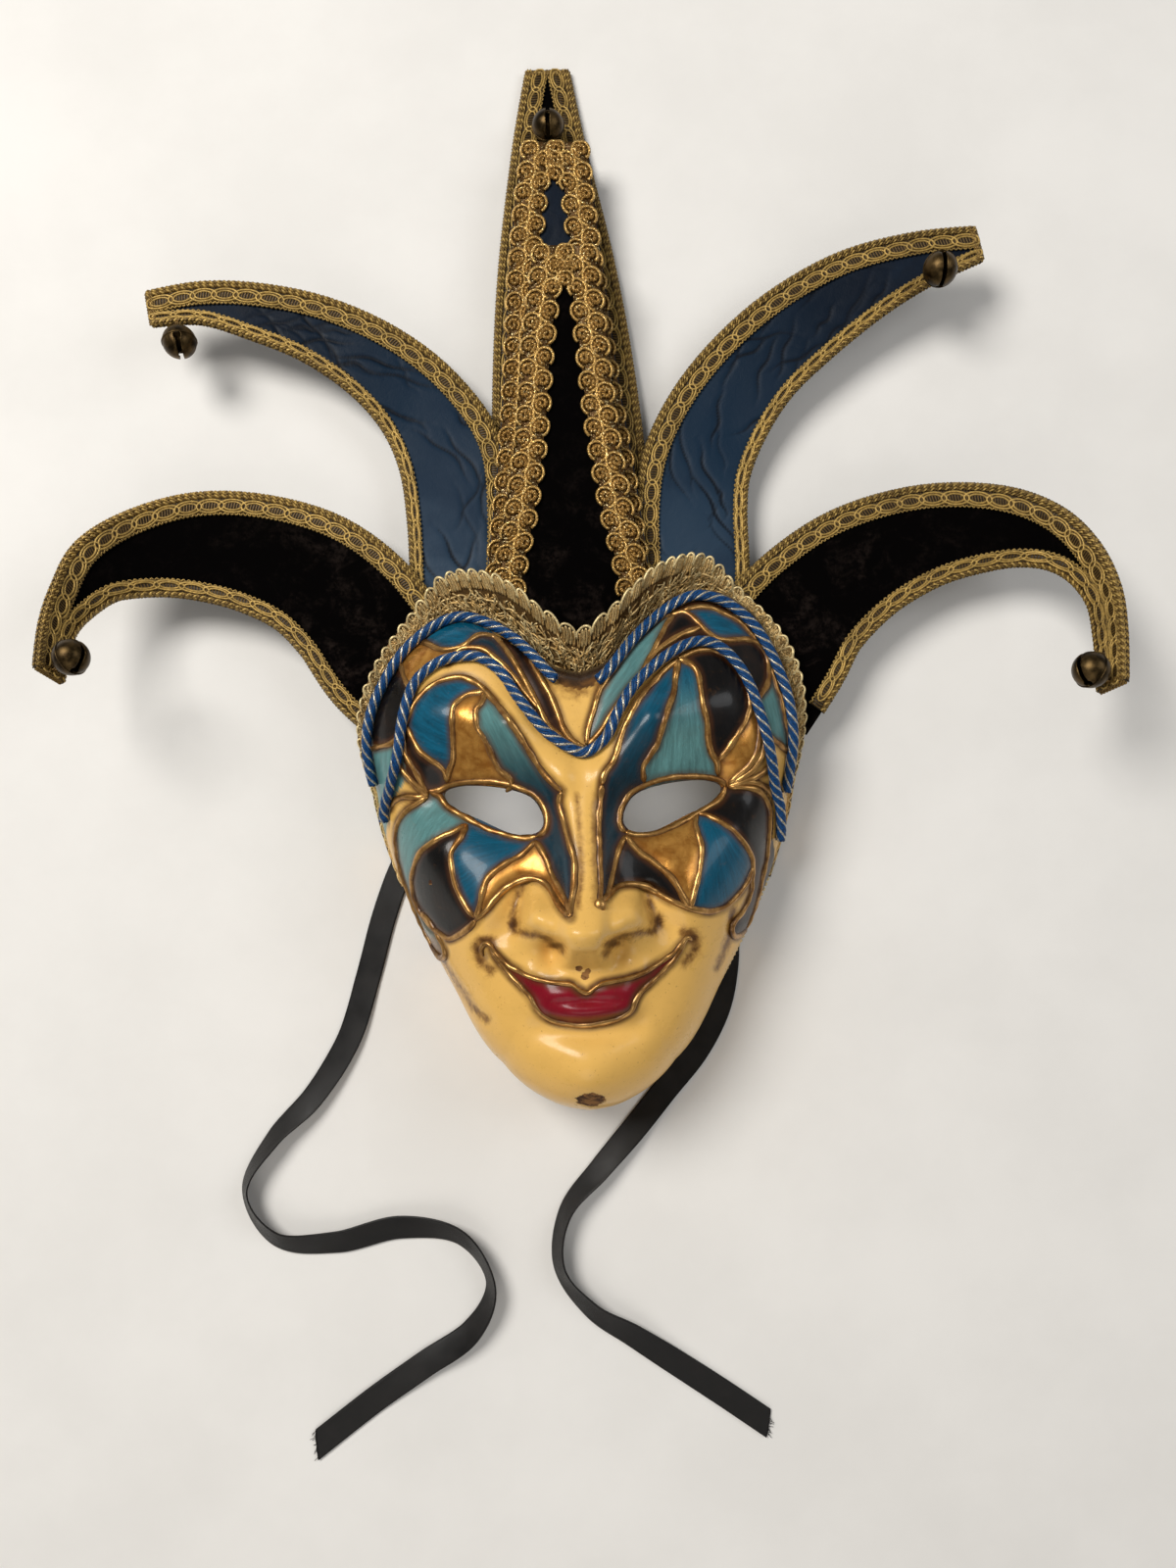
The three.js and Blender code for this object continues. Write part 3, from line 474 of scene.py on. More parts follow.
# Brown wash rubbed into the hollows, which also paints shade in the nose wings, nostrils, mouth corners and
# along the jaw: half width, strength, depth of the hollow and the line it follows
WASH_AND_SHADE_LINES = {
    "left nose wing": (1.9, 0.62, 1.6, [(-21.5, 86.5), (-24, 83), (-25.5, 78.5), (-26, 74), (-25.5, 70)]),
    "left nostril": (1.9, 0.7, 0.9, [(-25.5, 70), (-20.5, 69), (-15.5, 68), (-11.5, 65.5), (-8.5, 63)]),
    "right nose wing": (1.9, 0.62, 1.6, [(22, 84), (23, 79.5), (24.5, 75), (25.5, 71), (24.5, 69)]),
    "right nostril": (1.9, 0.7, 0.9, [
        (24.5, 69), (21.5, 68.5), (17, 68), (12.5, 67), (8.5, 65), (6.5, 61.5),
    ]),
    "left mouth curl": (2.4, 0.7, 0.4, [(-34.5, 66.5), (-38.5, 66), (-40, 62.5), (-38, 58.5), (-34.5, 56)]),
    "right mouth curl": (2.4, 0.7, 0.4, [(35, 68), (38.5, 67), (40, 63), (38, 59.5), (35.5, 57)]),
    "left jaw": (2.2, 0.6, 0.6, [(-59, 66), (-55, 58.5), (-51.5, 53), (-47, 47), (-43, 41.5), (-37, 37.5)]),
    "right jaw": (2.2, 0.66, 0.6, [(55, 74.5), (54, 68.5), (52.5, 62), (50.5, 57.5), (48.5, 53.5)]),
    "nose left": (1.5, 0.5, 0.2, [(-2, 118), (-1.5, 104), (-1, 90), (-2.5, 78)]),
    "nose right": (1.5, 0.4, 0.2, [(4, 118), (3.5, 104), (3.2, 90), (3, 80)]),
    "forehead": (4.0, 0.5, 0.0, [(-9, 160), (-1, 156), (8, 160)]),
}
# Darker smudges of the wash, which paint shade under the nostrils, beside the nose wings, at the mouth
# corners and on the jaw: x, y, half width, half height, strength
WASH_AND_SHADE_SPOTS = [
    (-26, 72.5, 2.2, 3.6, 1.0), (25.8, 72, 2.4, 3.6, 1.0), (-10.5, 64.7, 3.4, 1.5, 1.1),
    (9, 65, 3.6, 1.5, 1.1), (14, 67.8, 4, 1.4, 0.8), (-39.5, 63.5, 2.6, 2.6, 0.9),
    (39, 65.5, 2.6, 2.2, 0.9), (-22, 87, 3, 1.5, 0.7), (54.5, 72, 2, 4, 0.8), (51, 58.5, 1.6, 4, 0.7),
    (-46, 46, 3, 2, 0.6),
]
# Chipped places: x, y, half width, half height
CHIPS = [
    (0.2, 8.5, 6.6, 4.2), (-2.7, 56.5, 1.7, 1.5), (0.4, 55.6, 1.6, 1.3), (-0.8, 53.6, 2.2, 1.7),
    (-57, 88, 1.0, 1.4),
]
# The raised gold lines of the face, as x, y in millimetres, measured from the picture
LINES = {
    "left band arch": [
        (-62, 159), (-66, 164), (-69, 172), (-72, 179.5), (-70.5, 183), (-67.5, 184.5), (-57.5, 178.5),
        (-52.5, 175.5), (-47, 175), (-42.5, 176.5), (-38.5, 180), (-34, 180.5), (-30, 178), (-22.5, 165.5),
        (-15, 150), (-12.5, 144.5), (-8.5, 140), (-3.5, 136.5), (1, 135.5),
    ],
    "left band inner": [
        (-49, 169.5), (-44.5, 174.5), (-36.5, 174.5), (-32, 171), (-27, 166), (-22.5, 160), (-18.5, 154),
        (-14.5, 149),
    ],
    "left strip": [
        (-18.5, 170), (-13.5, 160), (-10.5, 154), (-8.5, 148.5), (-6.5, 142.5), (-3.5, 138), (0, 135.5),
    ],
    "left band foot": [(-82.5, 140), (-75.5, 140), (-71.5, 140.5), (-67.5, 143)],
    "right strip left": [
        (2, 136), (2.5, 141.5), (5, 149.5), (7, 156), (11, 162.5), (16.5, 170), (22.5, 178), (29, 184),
        (35, 187),
    ],
    "right strip right": [
        (36, 187), (32.5, 181.5), (30, 176.5), (25, 167), (22.5, 162), (18.5, 157), (14, 151),
        (10.5, 146.5), (7.5, 141.5), (2.5, 136),
    ],
    "right band arch": [
        (35, 186.5), (39, 187.5), (42, 186), (45, 182.5), (48, 179), (51.5, 176.5), (56, 176), (62.5, 177),
        (67, 176.5), (70.5, 173.5), (72, 169.5), (72, 164.5), (70.5, 159), (65, 152),
    ],
    "right band top": [
        (39.5, 188), (45, 189.5), (49.5, 189.5), (55, 187.5), (60, 185), (64, 181.5), (68, 176),
    ],
    "right band inner": [(23, 162.5), (26.5, 169), (31.5, 173.5), (37, 177), (46, 181)],
    "right band side": [
        (72, 168), (76, 155.5), (77.5, 148.5), (79, 141), (80, 134), (80.5, 128.5), (80.5, 121),
    ],
    "right band foot": [(69, 140), (75, 137), (80, 134)],
    "left brow": [
        (-66, 146), (-63, 152.5), (-60.5, 156.5), (-56, 160.5), (-51.5, 162.5), (-46.5, 163.5),
        (-42.5, 163), (-38, 160.5), (-34.5, 157), (-28, 148.5), (-21.5, 138.5), (-15, 127.5), (-11, 122.5),
        (-7.5, 119),
    ],
    "left wave left": [
        (-34.5, 157), (-40, 156.5), (-44, 154.5), (-46.5, 151.5), (-47, 147.5), (-47, 137.5),
        (-47.5, 132.5), (-49.5, 128.5), (-50.5, 125),
    ],
    "left wave right": [
        (-34.5, 157), (-36, 152.5), (-38, 150), (-38, 146.5), (-37.5, 143), (-35, 139), (-31.5, 131),
        (-29.5, 127.5), (-26.5, 125), (-26, 122.5), (-28, 120.5),
    ],
    "left patch foot": [
        (-66, 146), (-64.5, 145), (-62, 140), (-60, 136.5), (-56.5, 133.5), (-53, 131), (-51, 128.5),
        (-50.5, 125),
    ],
    "left dark side": [
        (-66, 146), (-66.5, 142), (-66.5, 138.5), (-65, 134), (-62.5, 130), (-60.5, 126), (-58, 120),
    ],
    "left fan one": [(-68, 142), (-69, 134), (-66.5, 129), (-62.5, 124.5), (-58, 120)],
    "left fan two": [(-74, 117), (-71.5, 119.5), (-67.5, 120.5), (-62.5, 120), (-58, 120)],
    "left eye top": [
        (-58, 120), (-55, 123.5), (-50.5, 125), (-44.5, 125.3), (-37.5, 124.5), (-31, 123.5),
        (-25.5, 121.8), (-20, 119.5), (-16, 116), (-13.5, 111.5), (-14.5, 105), (-17.5, 102),
    ],
    "left eye foot": [
        (-58, 120), (-54.5, 118), (-50.5, 113.5), (-45, 110), (-40, 107.5), (-34.5, 105), (-29, 103),
        (-23.5, 102.5), (-17.5, 102),
    ],
    "left cheek side": [
        (-58, 120), (-62.5, 117.5), (-67.5, 114.5), (-71, 110.5), (-72.5, 105), (-72.5, 98), (-71, 91),
        (-69, 84.5), (-67, 78), (-65, 71.5), (-62, 65.5), (-59.5, 61.5), (-56, 59), (-53.5, 61), (-54, 64),
        (-56, 68.5), (-59, 73), (-63, 77),
    ],
    "left oval": [
        (-43, 109), (-47.5, 106.5), (-51.5, 105), (-56, 102.5), (-60, 100), (-62.5, 97), (-64.5, 93),
        (-66, 88.5), (-66, 84), (-65, 80), (-62.5, 75.5), (-58, 71), (-55, 69), (-51, 67), (-46, 69),
        (-42, 71.5), (-39.5, 74),
    ],
    "left oval right": [
        (-43, 109), (-44.5, 104.5), (-47, 101), (-48.5, 97.5), (-48, 92.5), (-47, 87.5), (-45, 82.5),
        (-43, 79), (-40, 75),
    ],
    "left triangle": [
        (-17.5, 102), (-22, 97.5), (-27.5, 94.5), (-32, 91.5), (-35, 88.5), (-36.5, 84.5), (-37.5, 80.5),
        (-38.5, 77), (-40, 75),
    ],
    "left cheek": [
        (-40, 74), (-36, 77), (-32.5, 81), (-29, 84.5), (-25, 87), (-20.5, 88.5), (-16.5, 88), (-13.5, 86),
        (-11.5, 83), (-9.5, 79.5), (-7, 76.5), (-5, 75),
    ],
    "left nose side": [(-17.5, 102), (-14, 96), (-12, 90.5), (-9.5, 85.5), (-7, 81), (-5, 76.5)],
    "left nose": [
        (-7.5, 119), (-8.5, 116), (-8, 112.5), (-6.5, 106), (-5, 100), (-3.5, 94.5), (-3.5, 89), (-4, 83.5),
        (-5, 78.5), (-5, 75),
    ],
    "right brow": [
        (36.5, 168), (31.5, 164), (27, 159), (22, 153), (18.5, 147.5), (15.5, 141.5), (13.5, 136),
        (11.5, 130), (8, 125), (7, 121),
    ],
    "right nose": [(7, 121), (6, 113.5), (5.5, 106), (5.5, 99), (5.5, 91.5), (5.5, 84.5), (5, 79.5)],
    "right bell left": [
        (36.5, 168), (35, 160.5), (34, 154.5), (31.5, 148), (28.5, 139), (27, 135), (23.5, 130), (22, 127),
        (22.5, 122.5),
    ],
    "right bell right": [
        (36.5, 168), (41, 166), (43.5, 162), (44, 156.5), (44.5, 150.5), (46, 144), (46.5, 138),
        (47.5, 133.5), (50, 129.5), (50.5, 125),
    ],
    "right dark top": [
        (36.5, 168), (42.5, 171), (48, 172), (52.5, 171), (56.5, 168), (60, 163.5), (62, 159), (63, 155),
        (63, 150), (61, 144.5), (58, 140), (54.5, 135), (50.5, 130),
    ],
    "right fan one": [
        (63, 152), (66, 147.5), (66.5, 141.5), (65.5, 134.5), (63, 129.5), (59.5, 126), (54.5, 122),
    ],
    "right fan two": [(69, 143), (68.5, 136), (66.5, 130.5), (62, 125.5), (54.5, 121.5)],
    "right fan three": [(72, 130), (69, 127), (64, 124), (54.5, 121)],
    "right eye top": [
        (54.5, 121), (53, 123.5), (49.5, 125.3), (45, 125.8), (39.5, 125.2), (32.5, 124), (26, 122.8),
        (20, 120.5), (15.5, 117), (13, 112), (13, 107.5), (15, 103),
    ],
    "right eye foot": [
        (15, 103), (19, 102.5), (25, 102.6), (30, 104.5), (36, 107.3), (42, 110.5), (47, 113), (51, 115.5),
        (53.8, 119), (54.5, 121),
    ],
    "right nose side": [(15, 103), (12.5, 98), (11, 93), (9.5, 87.5), (7.5, 81)],
    "right cheek": [
        (5, 79.5), (8, 82), (11, 84.5), (14, 85.5), (18, 85.5), (22, 84.5), (25.5, 82.5), (29.5, 80),
        (33.5, 78), (37.5, 76.5), (41.5, 75.5), (46, 75), (51.5, 76.5), (55, 79), (58, 82), (61, 86),
        (63, 91),
    ],
    "right triangle left": [
        (15, 103), (20, 97), (24, 94), (28, 90.5), (31, 87.5), (33, 84.5), (35, 80.5), (37.5, 76.5),
    ],
    "right triangle right": [
        (42, 111), (41, 107.5), (41.5, 103.5), (42.5, 98.5), (42, 93.5), (41, 88.5), (39.5, 83),
        (37.5, 76.5),
    ],
    "right fan side": [
        (42, 111), (46, 110), (49.5, 108), (54, 105), (57.5, 101.5), (61, 97), (63, 92.5), (63, 85.5),
        (62.5, 80.5), (59.5, 74.5), (56, 71), (54.5, 68), (56, 65), (59, 65), (63, 67),
    ],
    "right outer side": [
        (54.5, 121), (61, 120.5), (66, 119.5), (69, 117), (71, 112.5), (71, 106.5), (70.5, 100.5),
        (70, 94.5), (68.5, 88), (67.5, 81.5), (66, 74.5), (63, 67),
    ],
    "right scroll": [(54.5, 121), (60.5, 122.5), (66, 122), (70.5, 120), (73, 117)],
    "upper lip": [
        (-37.5, 61), (-38, 63.5), (-36.5, 65.5), (-34.5, 65), (-33, 62.5), (-28.5, 58), (-24, 55.5),
        (-19.5, 53.5), (-14, 52), (-9, 51.3), (-5.5, 50.8), (-3, 49), (0, 47.8), (3, 49.7), (6, 51),
        (11, 51.8), (15, 52.6), (20, 54.2), (24.5, 56.5), (31, 60.5), (35, 64.5), (36.5, 66), (38, 65),
    ],
    "lower lip": [
        (-34, 63), (-29.5, 56.5), (-24, 50.5), (-20.5, 46.5), (-19, 43.5), (-16.5, 40.2), (-12.5, 37.8),
        (-8, 36.6), (-1.5, 36), (5.5, 36.8), (11.5, 38.5), (15.5, 41), (17, 44.5), (19, 47.5), (22, 50),
        (27.5, 54.5), (32, 59), (35.5, 65),
    ],
}
# Paint poured between the lines: x, y, paint, way of the brush and the middle that it goes round or out from
POURS = [
    (-75, 131, "pale", "fan", -60, 200), (-73, 150, "black", "fan", -60, 100),
    (-60, 172, "gold", "fan", -60, 100), (-54, 183, "teal", "arc", -50, 150),
    (-35, 177, "deep", "arc", -50, 150), (-20, 166, "black", "fan", -60, 100),
    (-12, 152, "black", "fan", -60, 100), (-14.5, 146, "black", "fan", -60, 100),
    (-0.5, 150, "ivory", "fan", 0, 0), (9, 152, "pale", "fan", -20, 110),
    (37, 181.5, "black", "fan", 60, 100), (36, 174, "black", "fan", 60, 100),
    (12, 146, "black", "fan", 60, 100), (55, 182, "teal", "arc", 50, 150),
    (42, 190, "black", "arc", 50, 150), (66, 171, "gold", "fan", 60, 100),
    (73, 148, "pale", "fan", 60, 200), (76, 125, "black", "fan", 60, 100),
    (-46, 167, "ivory", "arc", -48, 130), (-55, 148, "teal", "arc", -40, 170),
    (-42, 147, "gold", "fan", -40, 200), (-29, 137, "pale", "fan", -50, 180),
    (-58, 130, "black", "fan", -60, 100), (25, 148, "teal", "fan", 50, 190),
    (37, 145, "teal", "fan", 38, 200), (54, 153, "black", "fan", 60, 100),
    (58, 132, "gold", "fan", 60, 200), (-65, 105, "pale", "arc", -30, 90),
    (-57, 88, "black", "fan", -60, 150), (-38, 98, "teal", "fan", -20, 102),
    (-26, 90, "gold", "fan", -20, 130), (-12, 105, "deep", "fan", -30, 180),
    (10, 105, "deep", "fan", 30, 180), (20, 91, "black", "fan", 10, 120), (35, 97, "gold", "fan", 30, 150),
    (52, 90, "teal", "fan", 45, 112), (65, 108, "black", "fan", 60, 200),
    (62, 122, "black", "fan", 60, 200), (0, 42, "crimson", "fan", 0, 140), (0, 20, "ivory", "arc", 0, 90),
    (0, 125, "ivory", "arc", 0, 90), (-66.5, 137, "ivory", "fan", -58, 120),
    (-70, 128, "ivory", "fan", -58, 120), (-70, 116, "ivory", "fan", -58, 120),
    (60.5, 83.5, "ivory", "fan", -58, 120), (62, 138, "ivory", "fan", 54, 121),
    (67, 137, "ivory", "fan", 54, 121), (70, 132, "ivory", "fan", 54, 121),
    (70, 124, "ivory", "fan", 54, 121),
]
# Pours that turn to another paint: which, from and to which y
FADES = {
    (-29, 137): ("deep", 150, 116), (25, 148): ("deep", 160, 120), (37, 145): ("pale", 166, 136),
    (-65, 105): ("grey", 90, 70),
}
# Where a paint ends without a line
BREAKS = [[(-75, 113), (-79, 106)], [(74, 102), (79, 96)]]


# Tie ribbons, laid on the surface along the part's own routes
RIBBON_WIDE, RIBBON_THICK, RIBBON_CLEAR = 10.0, 0.6, 0.2
RIBBON_STEPS, RIBBON_FRAYS, CUT_REACH = 241, 11, 12
look = Look("black_satin_ribbon", rough=0.42, Specular_IOR_Level=0.3, Sheen_Weight=0.04, Sheen_Roughness=0.4)
weave = look.stretch(look.tag("weave", "Vector"), 1.0, 0.06, 1.0)
inputs = {"Vector": weave, "Scale": 0.9, "Distortion": 1.2}
thread = look.node("ShaderNodeTexWave", inputs, wave_type="BANDS", bands_direction="X")
worn = look.noise(90, 4)
look.base(look.span(worn, 0.35, 0.75), (0.0035, 0.003, 0.003), (0.009, 0.0075, 0.007))
look.put("Roughness", look.span(worn, 0.2, 0.8, 0.32, 0.55))
look.bump(thread.outputs["Fac"], 0.25, 0.0002)
ribbon_look = look.made


def ribbon(name, cut):
    table = np.array(RIBBONS[name], float)
    share = np.linspace(0, 1, RIBBON_STEPS)

    def middle(s):
        x, y, lean = (column(table[:, k], s) for k in range(3))
        lean = np.radians(lean)
        half = RIBBON_THICK / 2 * np.abs(np.cos(lean)) + RIBBON_WIDE / 2 * np.abs(np.sin(lean))
        return np.stack([x, y, RIBBON_CLEAR + half], -1), lean

    centre, lean = middle(share)
    ahead = middle(np.minimum(1, share + 0.004))[0] - middle(np.maximum(0, share - 0.004))[0]
    level = unit(np.cross(UP, ahead))
    ahead = unit(ahead)
    across = level * np.cos(lean)[:, None] + UP * np.sin(lean)[:, None]
    normal = UP * np.cos(lean)[:, None] - level * np.sin(lean)[:, None]
    run = lengths(centre)
    lanes = np.linspace(-1, 1, 13)
    # The sewn selvedges are a little thicker than the cloth between them
    thick = RIBBON_THICK / 2 * (0.62 + 0.38 * smooth((np.abs(lanes) - 0.8) / 0.15))
    high = np.clip(thick, 0.16, 0.3)
    wander = np.minimum(0.12 * ripples(run[:, None] / 40, lanes[None] * 0.5, (2.2, 1.0), 31), 0.05)
    # The end is cut on a slant and a little ragged
    ragged = cut * lanes[None] + 0.35 * ripples(lanes, 0 * lanes, (3.0, 1.0), 5)
    slant = smooth((run - run[-1] + CUT_REACH) / CUT_REACH)[:, None] * ragged
    flat = centre[:, None] + across[:, None] * (lanes * RIBBON_WIDE / 2)[None, :, None]
    flat = flat + ahead[:, None] * slant[..., None]
    top = flat + normal[:, None] * (high + wander)[..., None]
    low = flat - normal[:, None] * (high - wander)[..., None]
    heap = Heap()
    heap.add(sweep(np.concatenate([top, low[:, ::-1]], axis=1)))
    there_and_back = np.concatenate([lanes, lanes[::-1]]) * RIBBON_WIDE / 2
    weave = np.column_stack([np.tile(there_and_back, len(run)), np.repeat(run, len(there_and_back))])
    # A few loose threads at the cut end
    frays = []
    for _ in range(RIBBON_FRAYS):
        lane = dice.uniform(-0.95, 0.95)
        base = centre[-1] + across[-1] * lane * RIBBON_WIDE / 2 + ahead[-1] * (cut * lane - 0.6)
        way = unit(ahead[-1] + across[-1] * dice.uniform(-0.5, 0.5))
        out = np.linspace(0, dice.uniform(1.2, 3.2), 5)[:, None]
        frays.append(base + way * out + UP * (0.05 + 0.03 * out))
    heap.add(tubes(np.array(frays), UP, 0.11, 4))
    thing = heap.build("tie_" + name, [ribbon_look], "ribbon_" + name)
    values = np.zeros((heap.count, 3))
    values[: len(weave), :2] = weave
    label(thing.data, "weave", "FLOAT_VECTOR", values)


ribbon("left", 3.0)
ribbon("right", -2.2)


# The form of the face
RIM_ANGLE = np.arctan2(RIM[:, 0], RIM[:, 1] - MIDDLE_Y)
RIM_RADIUS = np.hypot(RIM[:, 0], RIM[:, 1] - MIDDLE_Y)
# Half the width over which the two halves of the face run into each other without a crease
MEETING = 4
# A point under the face, from which its outside looks away
UNDER_FACE = np.array([0, MIDDLE_Y, -10])


def rim_at(angle):
    a = np.abs(angle)
    i = np.clip(np.searchsorted(RIM_ANGLE, a, side="left") - 1, 0, len(RIM) - 2)
    share = (i + (a - RIM_ANGLE[i]) / (RIM_ANGLE[i + 1] - RIM_ANGLE[i])) / (len(RIM) - 1)
    return column(RIM_RADIUS, share), np.maximum(0, column(RIM[:, 2], share)), column(RIM[:, 3], share)


def leaned(x, y):
    return y + LEAN * x * smooth((y - LEAN_FROM) / LEAN_OVER)


def unleaned(x, y):
    even = y
    for _ in range(4):
        even = y - LEAN * x * smooth((even - LEAN_FROM) / LEAN_OVER)
    return even


def features(x, y):
    height = np.interp(y, NOSE[::-1, 0], NOSE[::-1, 1], left=0, right=0)
    half = np.interp(y, NOSE[::-1, 0], NOSE[::-1, 2])
    total = height / (1 + (x / half) ** 4)
    ax = np.where(np.abs(x) < MEETING, x * x / (2 * MEETING) + MEETING / 2, np.abs(x))
    for x1, y1, x2, y2, reach, high in FEATURES:
        dx, dy = x2 - x1, y2 - y1
        long = dx * dx + dy * dy
        t = np.clip(((ax - x1) * dx + (y - y1) * dy) / long, 0, 1) if long else 0
        total = total + high * np.exp(-((ax - x1 - t * dx) ** 2 + (y - y1 - t * dy) ** 2) / reach**2)
    for mid_x, mid_y, wide, tall, high in FORMS:
        total = total + high * np.exp(-(((x - mid_x) / wide) ** 2) - ((y - mid_y) / tall) ** 2)
    return total


def by_ray(angle, share):
    radius, low, full = rim_at(angle)
    x, y = np.sin(angle) * radius * share, MIDDLE_Y + np.cos(angle) * radius * share
    z = low + (DEPTH - low) * np.maximum(0, 1 - share**full) ** (1 / full)
    z = z + features(x, y) * (1 - np.minimum(1, share) ** RELIEF_FADE)
    return np.stack([x, leaned(x, y), z], -1)


def over(x, y):
    x, y = np.asarray(x, float), np.asarray(y, float)
    even = unleaned(x, y)
    angle = np.arctan2(x, even - MIDDLE_Y)
    return by_ray(angle, np.minimum(0.999, np.hypot(x, even - MIDDLE_Y) / rim_at(angle)[0]))


def face_normal(x, y):
    step = 0.4
    dx = (over(x + step, y)[..., 2] - over(x - step, y)[..., 2]) / (2 * step)
    dy = (over(x, y + step)[..., 2] - over(x, y - step)[..., 2]) / (2 * step)
    return unit(np.stack([-dx, -dy, np.ones_like(dx)], -1))


# The paint map: a grid over the face, poured between the lines, the cords and the eye holes
PITCH, MAP_X, MAP_Y, MAP_WIDE, MAP_HIGH = 0.5, -92.0, -4.0, 368, 424
grid_x, grid_y = np.meshgrid(MAP_X + PITCH * np.arange(MAP_WIDE), MAP_Y + PITCH * np.arange(MAP_HIGH))
grid_even = unleaned(grid_x, grid_y)
grid_angle = np.arctan2(grid_x, grid_even - MIDDLE_Y)
grid_share = np.hypot(grid_x, grid_even - MIDDLE_Y) / rim_at(grid_angle)[0]


def distance(paths, reach, far):
    """How far each cell of the map is from the nearest point of the paths; far where none is within reach."""
    field = np.full(grid_x.shape, far)
    size = int(2 * reach / PITCH) + 2
    for x, y in np.vstack(list(paths)):
        i = max(int((x - reach - MAP_X) / PITCH), 0)
        k = max(int((y - reach - MAP_Y) / PITCH), 0)
        part = (slice(k, k + size), slice(i, i + size))
        field[part] = np.minimum(field[part], np.hypot(grid_x[part] - x, grid_y[part] - y))
    return field


eyes = [spline([(side * x, y) for x, y in EYE], 0.4, True) for side in (-1, 1)]


def inside(outline, x, y):
    hit = np.zeros(np.shape(x), bool)
    ends = np.roll(outline, -1, 0)
    for (x1, y1), (x2, y2) in zip(outline, ends):
        if y1 != y2:
            hit ^= ((y1 > y) != (y2 > y)) & (x < (x2 - x1) * (y - y1) / (y2 - y1) + x1)
    return hit


in_eye = inside(eyes[0], grid_x, grid_y) | inside(eyes[1], grid_x, grid_y)


# Lines go to an eye hole's edge: wholly within the first distance, and not at all past the second
EYE_PULL_ALL, EYE_PULL = 2.5, 6.5


def clear_of_eyes(path, room):
    """Pushes points of a line out of an eye hole, to stand room away from its edge."""
    path = path.copy()
    for eye in eyes:
        gap = np.linalg.norm(path[:, None] - eye[None], axis=2)
        nearest, away = eye[gap.argmin(1)], gap.min(1)
        within = inside(eye, path[:, 0], path[:, 1])
        heading = unit(nearest - eye.mean(0))
        ease = smooth((away - EYE_PULL_ALL) / (EYE_PULL - EYE_PULL_ALL))
        wanted = np.where(within | (away < room), room, room + (away - room) * ease)
        pulled = within | (away < EYE_PULL)
        path[pulled] = (nearest + heading * wanted[:, None])[pulled]
    return path


LINE_STEP = 0.7
lines = {}
for name, points in LINES.items():
    lines[name] = even_steps(spline(points, 0.5), LINE_STEP)[0]
    if "eye" in name:
        lines[name] = even_steps(clear_of_eyes(lines[name], 1.6), 0.8)[0]


# Share of its ray at which the band under the crown starts, and the degrees by which it is widest
BAND_FROM, BAND_WIDEST = 0.87, 20


def outer_cord_line(word):
    side, start, end, out = OUTER_CORDS[word]
    degrees = np.linspace(start, end, 200)
    share = BAND_FROM + (out - BAND_FROM) * smooth((degrees - start) / (BAND_WIDEST - start))
    return np.radians(degrees) * side, share


line_near = distance(lines.values(), 8, 12.0)
cord_paths = [spline(INNER_CORD)] + [by_ray(*outer_cord_line(word))[:, :2] for word in OUTER_CORDS]
cord_near = distance((even_steps(path, 0.4)[0] for path in cord_paths), 6, 12.0)
# How near to a line, a cord or a break paint stops
LINE_WALL, CORD_WALL, BREAK_WALL = 0.8, 1.0, 0.7
shut = (line_near < LINE_WALL) | (cord_near < CORD_WALL) | in_eye | (grid_share > 1)
for points in BREAKS:
    shut |= distance([spline(points, 0.3)], 2, 9.0) < BREAK_WALL

# Colours of the paints, how much they shine like gilding, and how much they are aged
PAINTS = {
    "ivory": (linear(232, 184, 98), 0.0, 1.0),
    "teal": (linear(9, 80, 106), 0.0, 0.35),
    "pale": (linear(88, 132, 132), 0.0, 0.5),
    "grey": (linear(112, 118, 104), 0.0, 0.7),
    "deep": (linear(12, 46, 60), 0.0, 0.4),
    "black": (linear(10, 8, 8), 0.0, 0.1),
    "gold": (linear(172, 112, 44), 1.0, 0.3),
    "crimson": (linear(126, 5, 28), 0.0, 0.85),
    "umber": (linear(46, 32, 22), 0.0, 0.3),
}
region = np.full(grid_x.shape, -1)


def pour(cells, walls):
    while cells:
        k, i = cells.popleft()
        for m, n in ((k + 1, i), (k - 1, i), (k, i + 1), (k, i - 1)):
            if 0 <= m < MAP_HIGH and 0 <= n < MAP_WIDE and not walls[m, n] and region[m, n] < 0:
                region[m, n] = region[k, i]
                cells.append((m, n))


for index, (x, y, *_) in enumerate(POURS):
    i, k = int(round((x - MAP_X) / PITCH)), int(round((y - MAP_Y) / PITCH))
    if region[k, i] < 0 and not shut[k, i]:
        region[k, i] = index
        pour(deque([(k, i)]), shut)
pour(deque(map(tuple, np.argwhere(region >= 0))), np.zeros_like(shut))
region_paint = np.zeros(grid_x.shape + (3,))
region_gild = np.zeros(grid_x.shape)
region_age = np.zeros(grid_x.shape)
brush = np.zeros(grid_x.shape + (3,))
for index, (x, y, paint, way, mid_x, mid_y) in enumerate(POURS):
    mask = region == index
    other, from_y, to_y = FADES.get((x, y), (paint, 0, 1))
    share = smooth((grid_y[mask] - from_y) / (to_y - from_y))[:, None]
    region_paint[mask] = np.array(PAINTS[paint][0]) * (1 - share) + np.array(PAINTS[other][0]) * share
    region_gild[mask], region_age[mask] = PAINTS[paint][1:]
    dx, dy = grid_x[mask] - mid_x, grid_y[mask] - mid_y
    far, turned = np.hypot(dx, dy), np.arctan2(dx, dy) * 45
    pair = (far, turned) if way == "arc" else (turned, far)
    brush[mask] = np.stack([*pair, np.full(far.shape, index * 9.0)], -1)
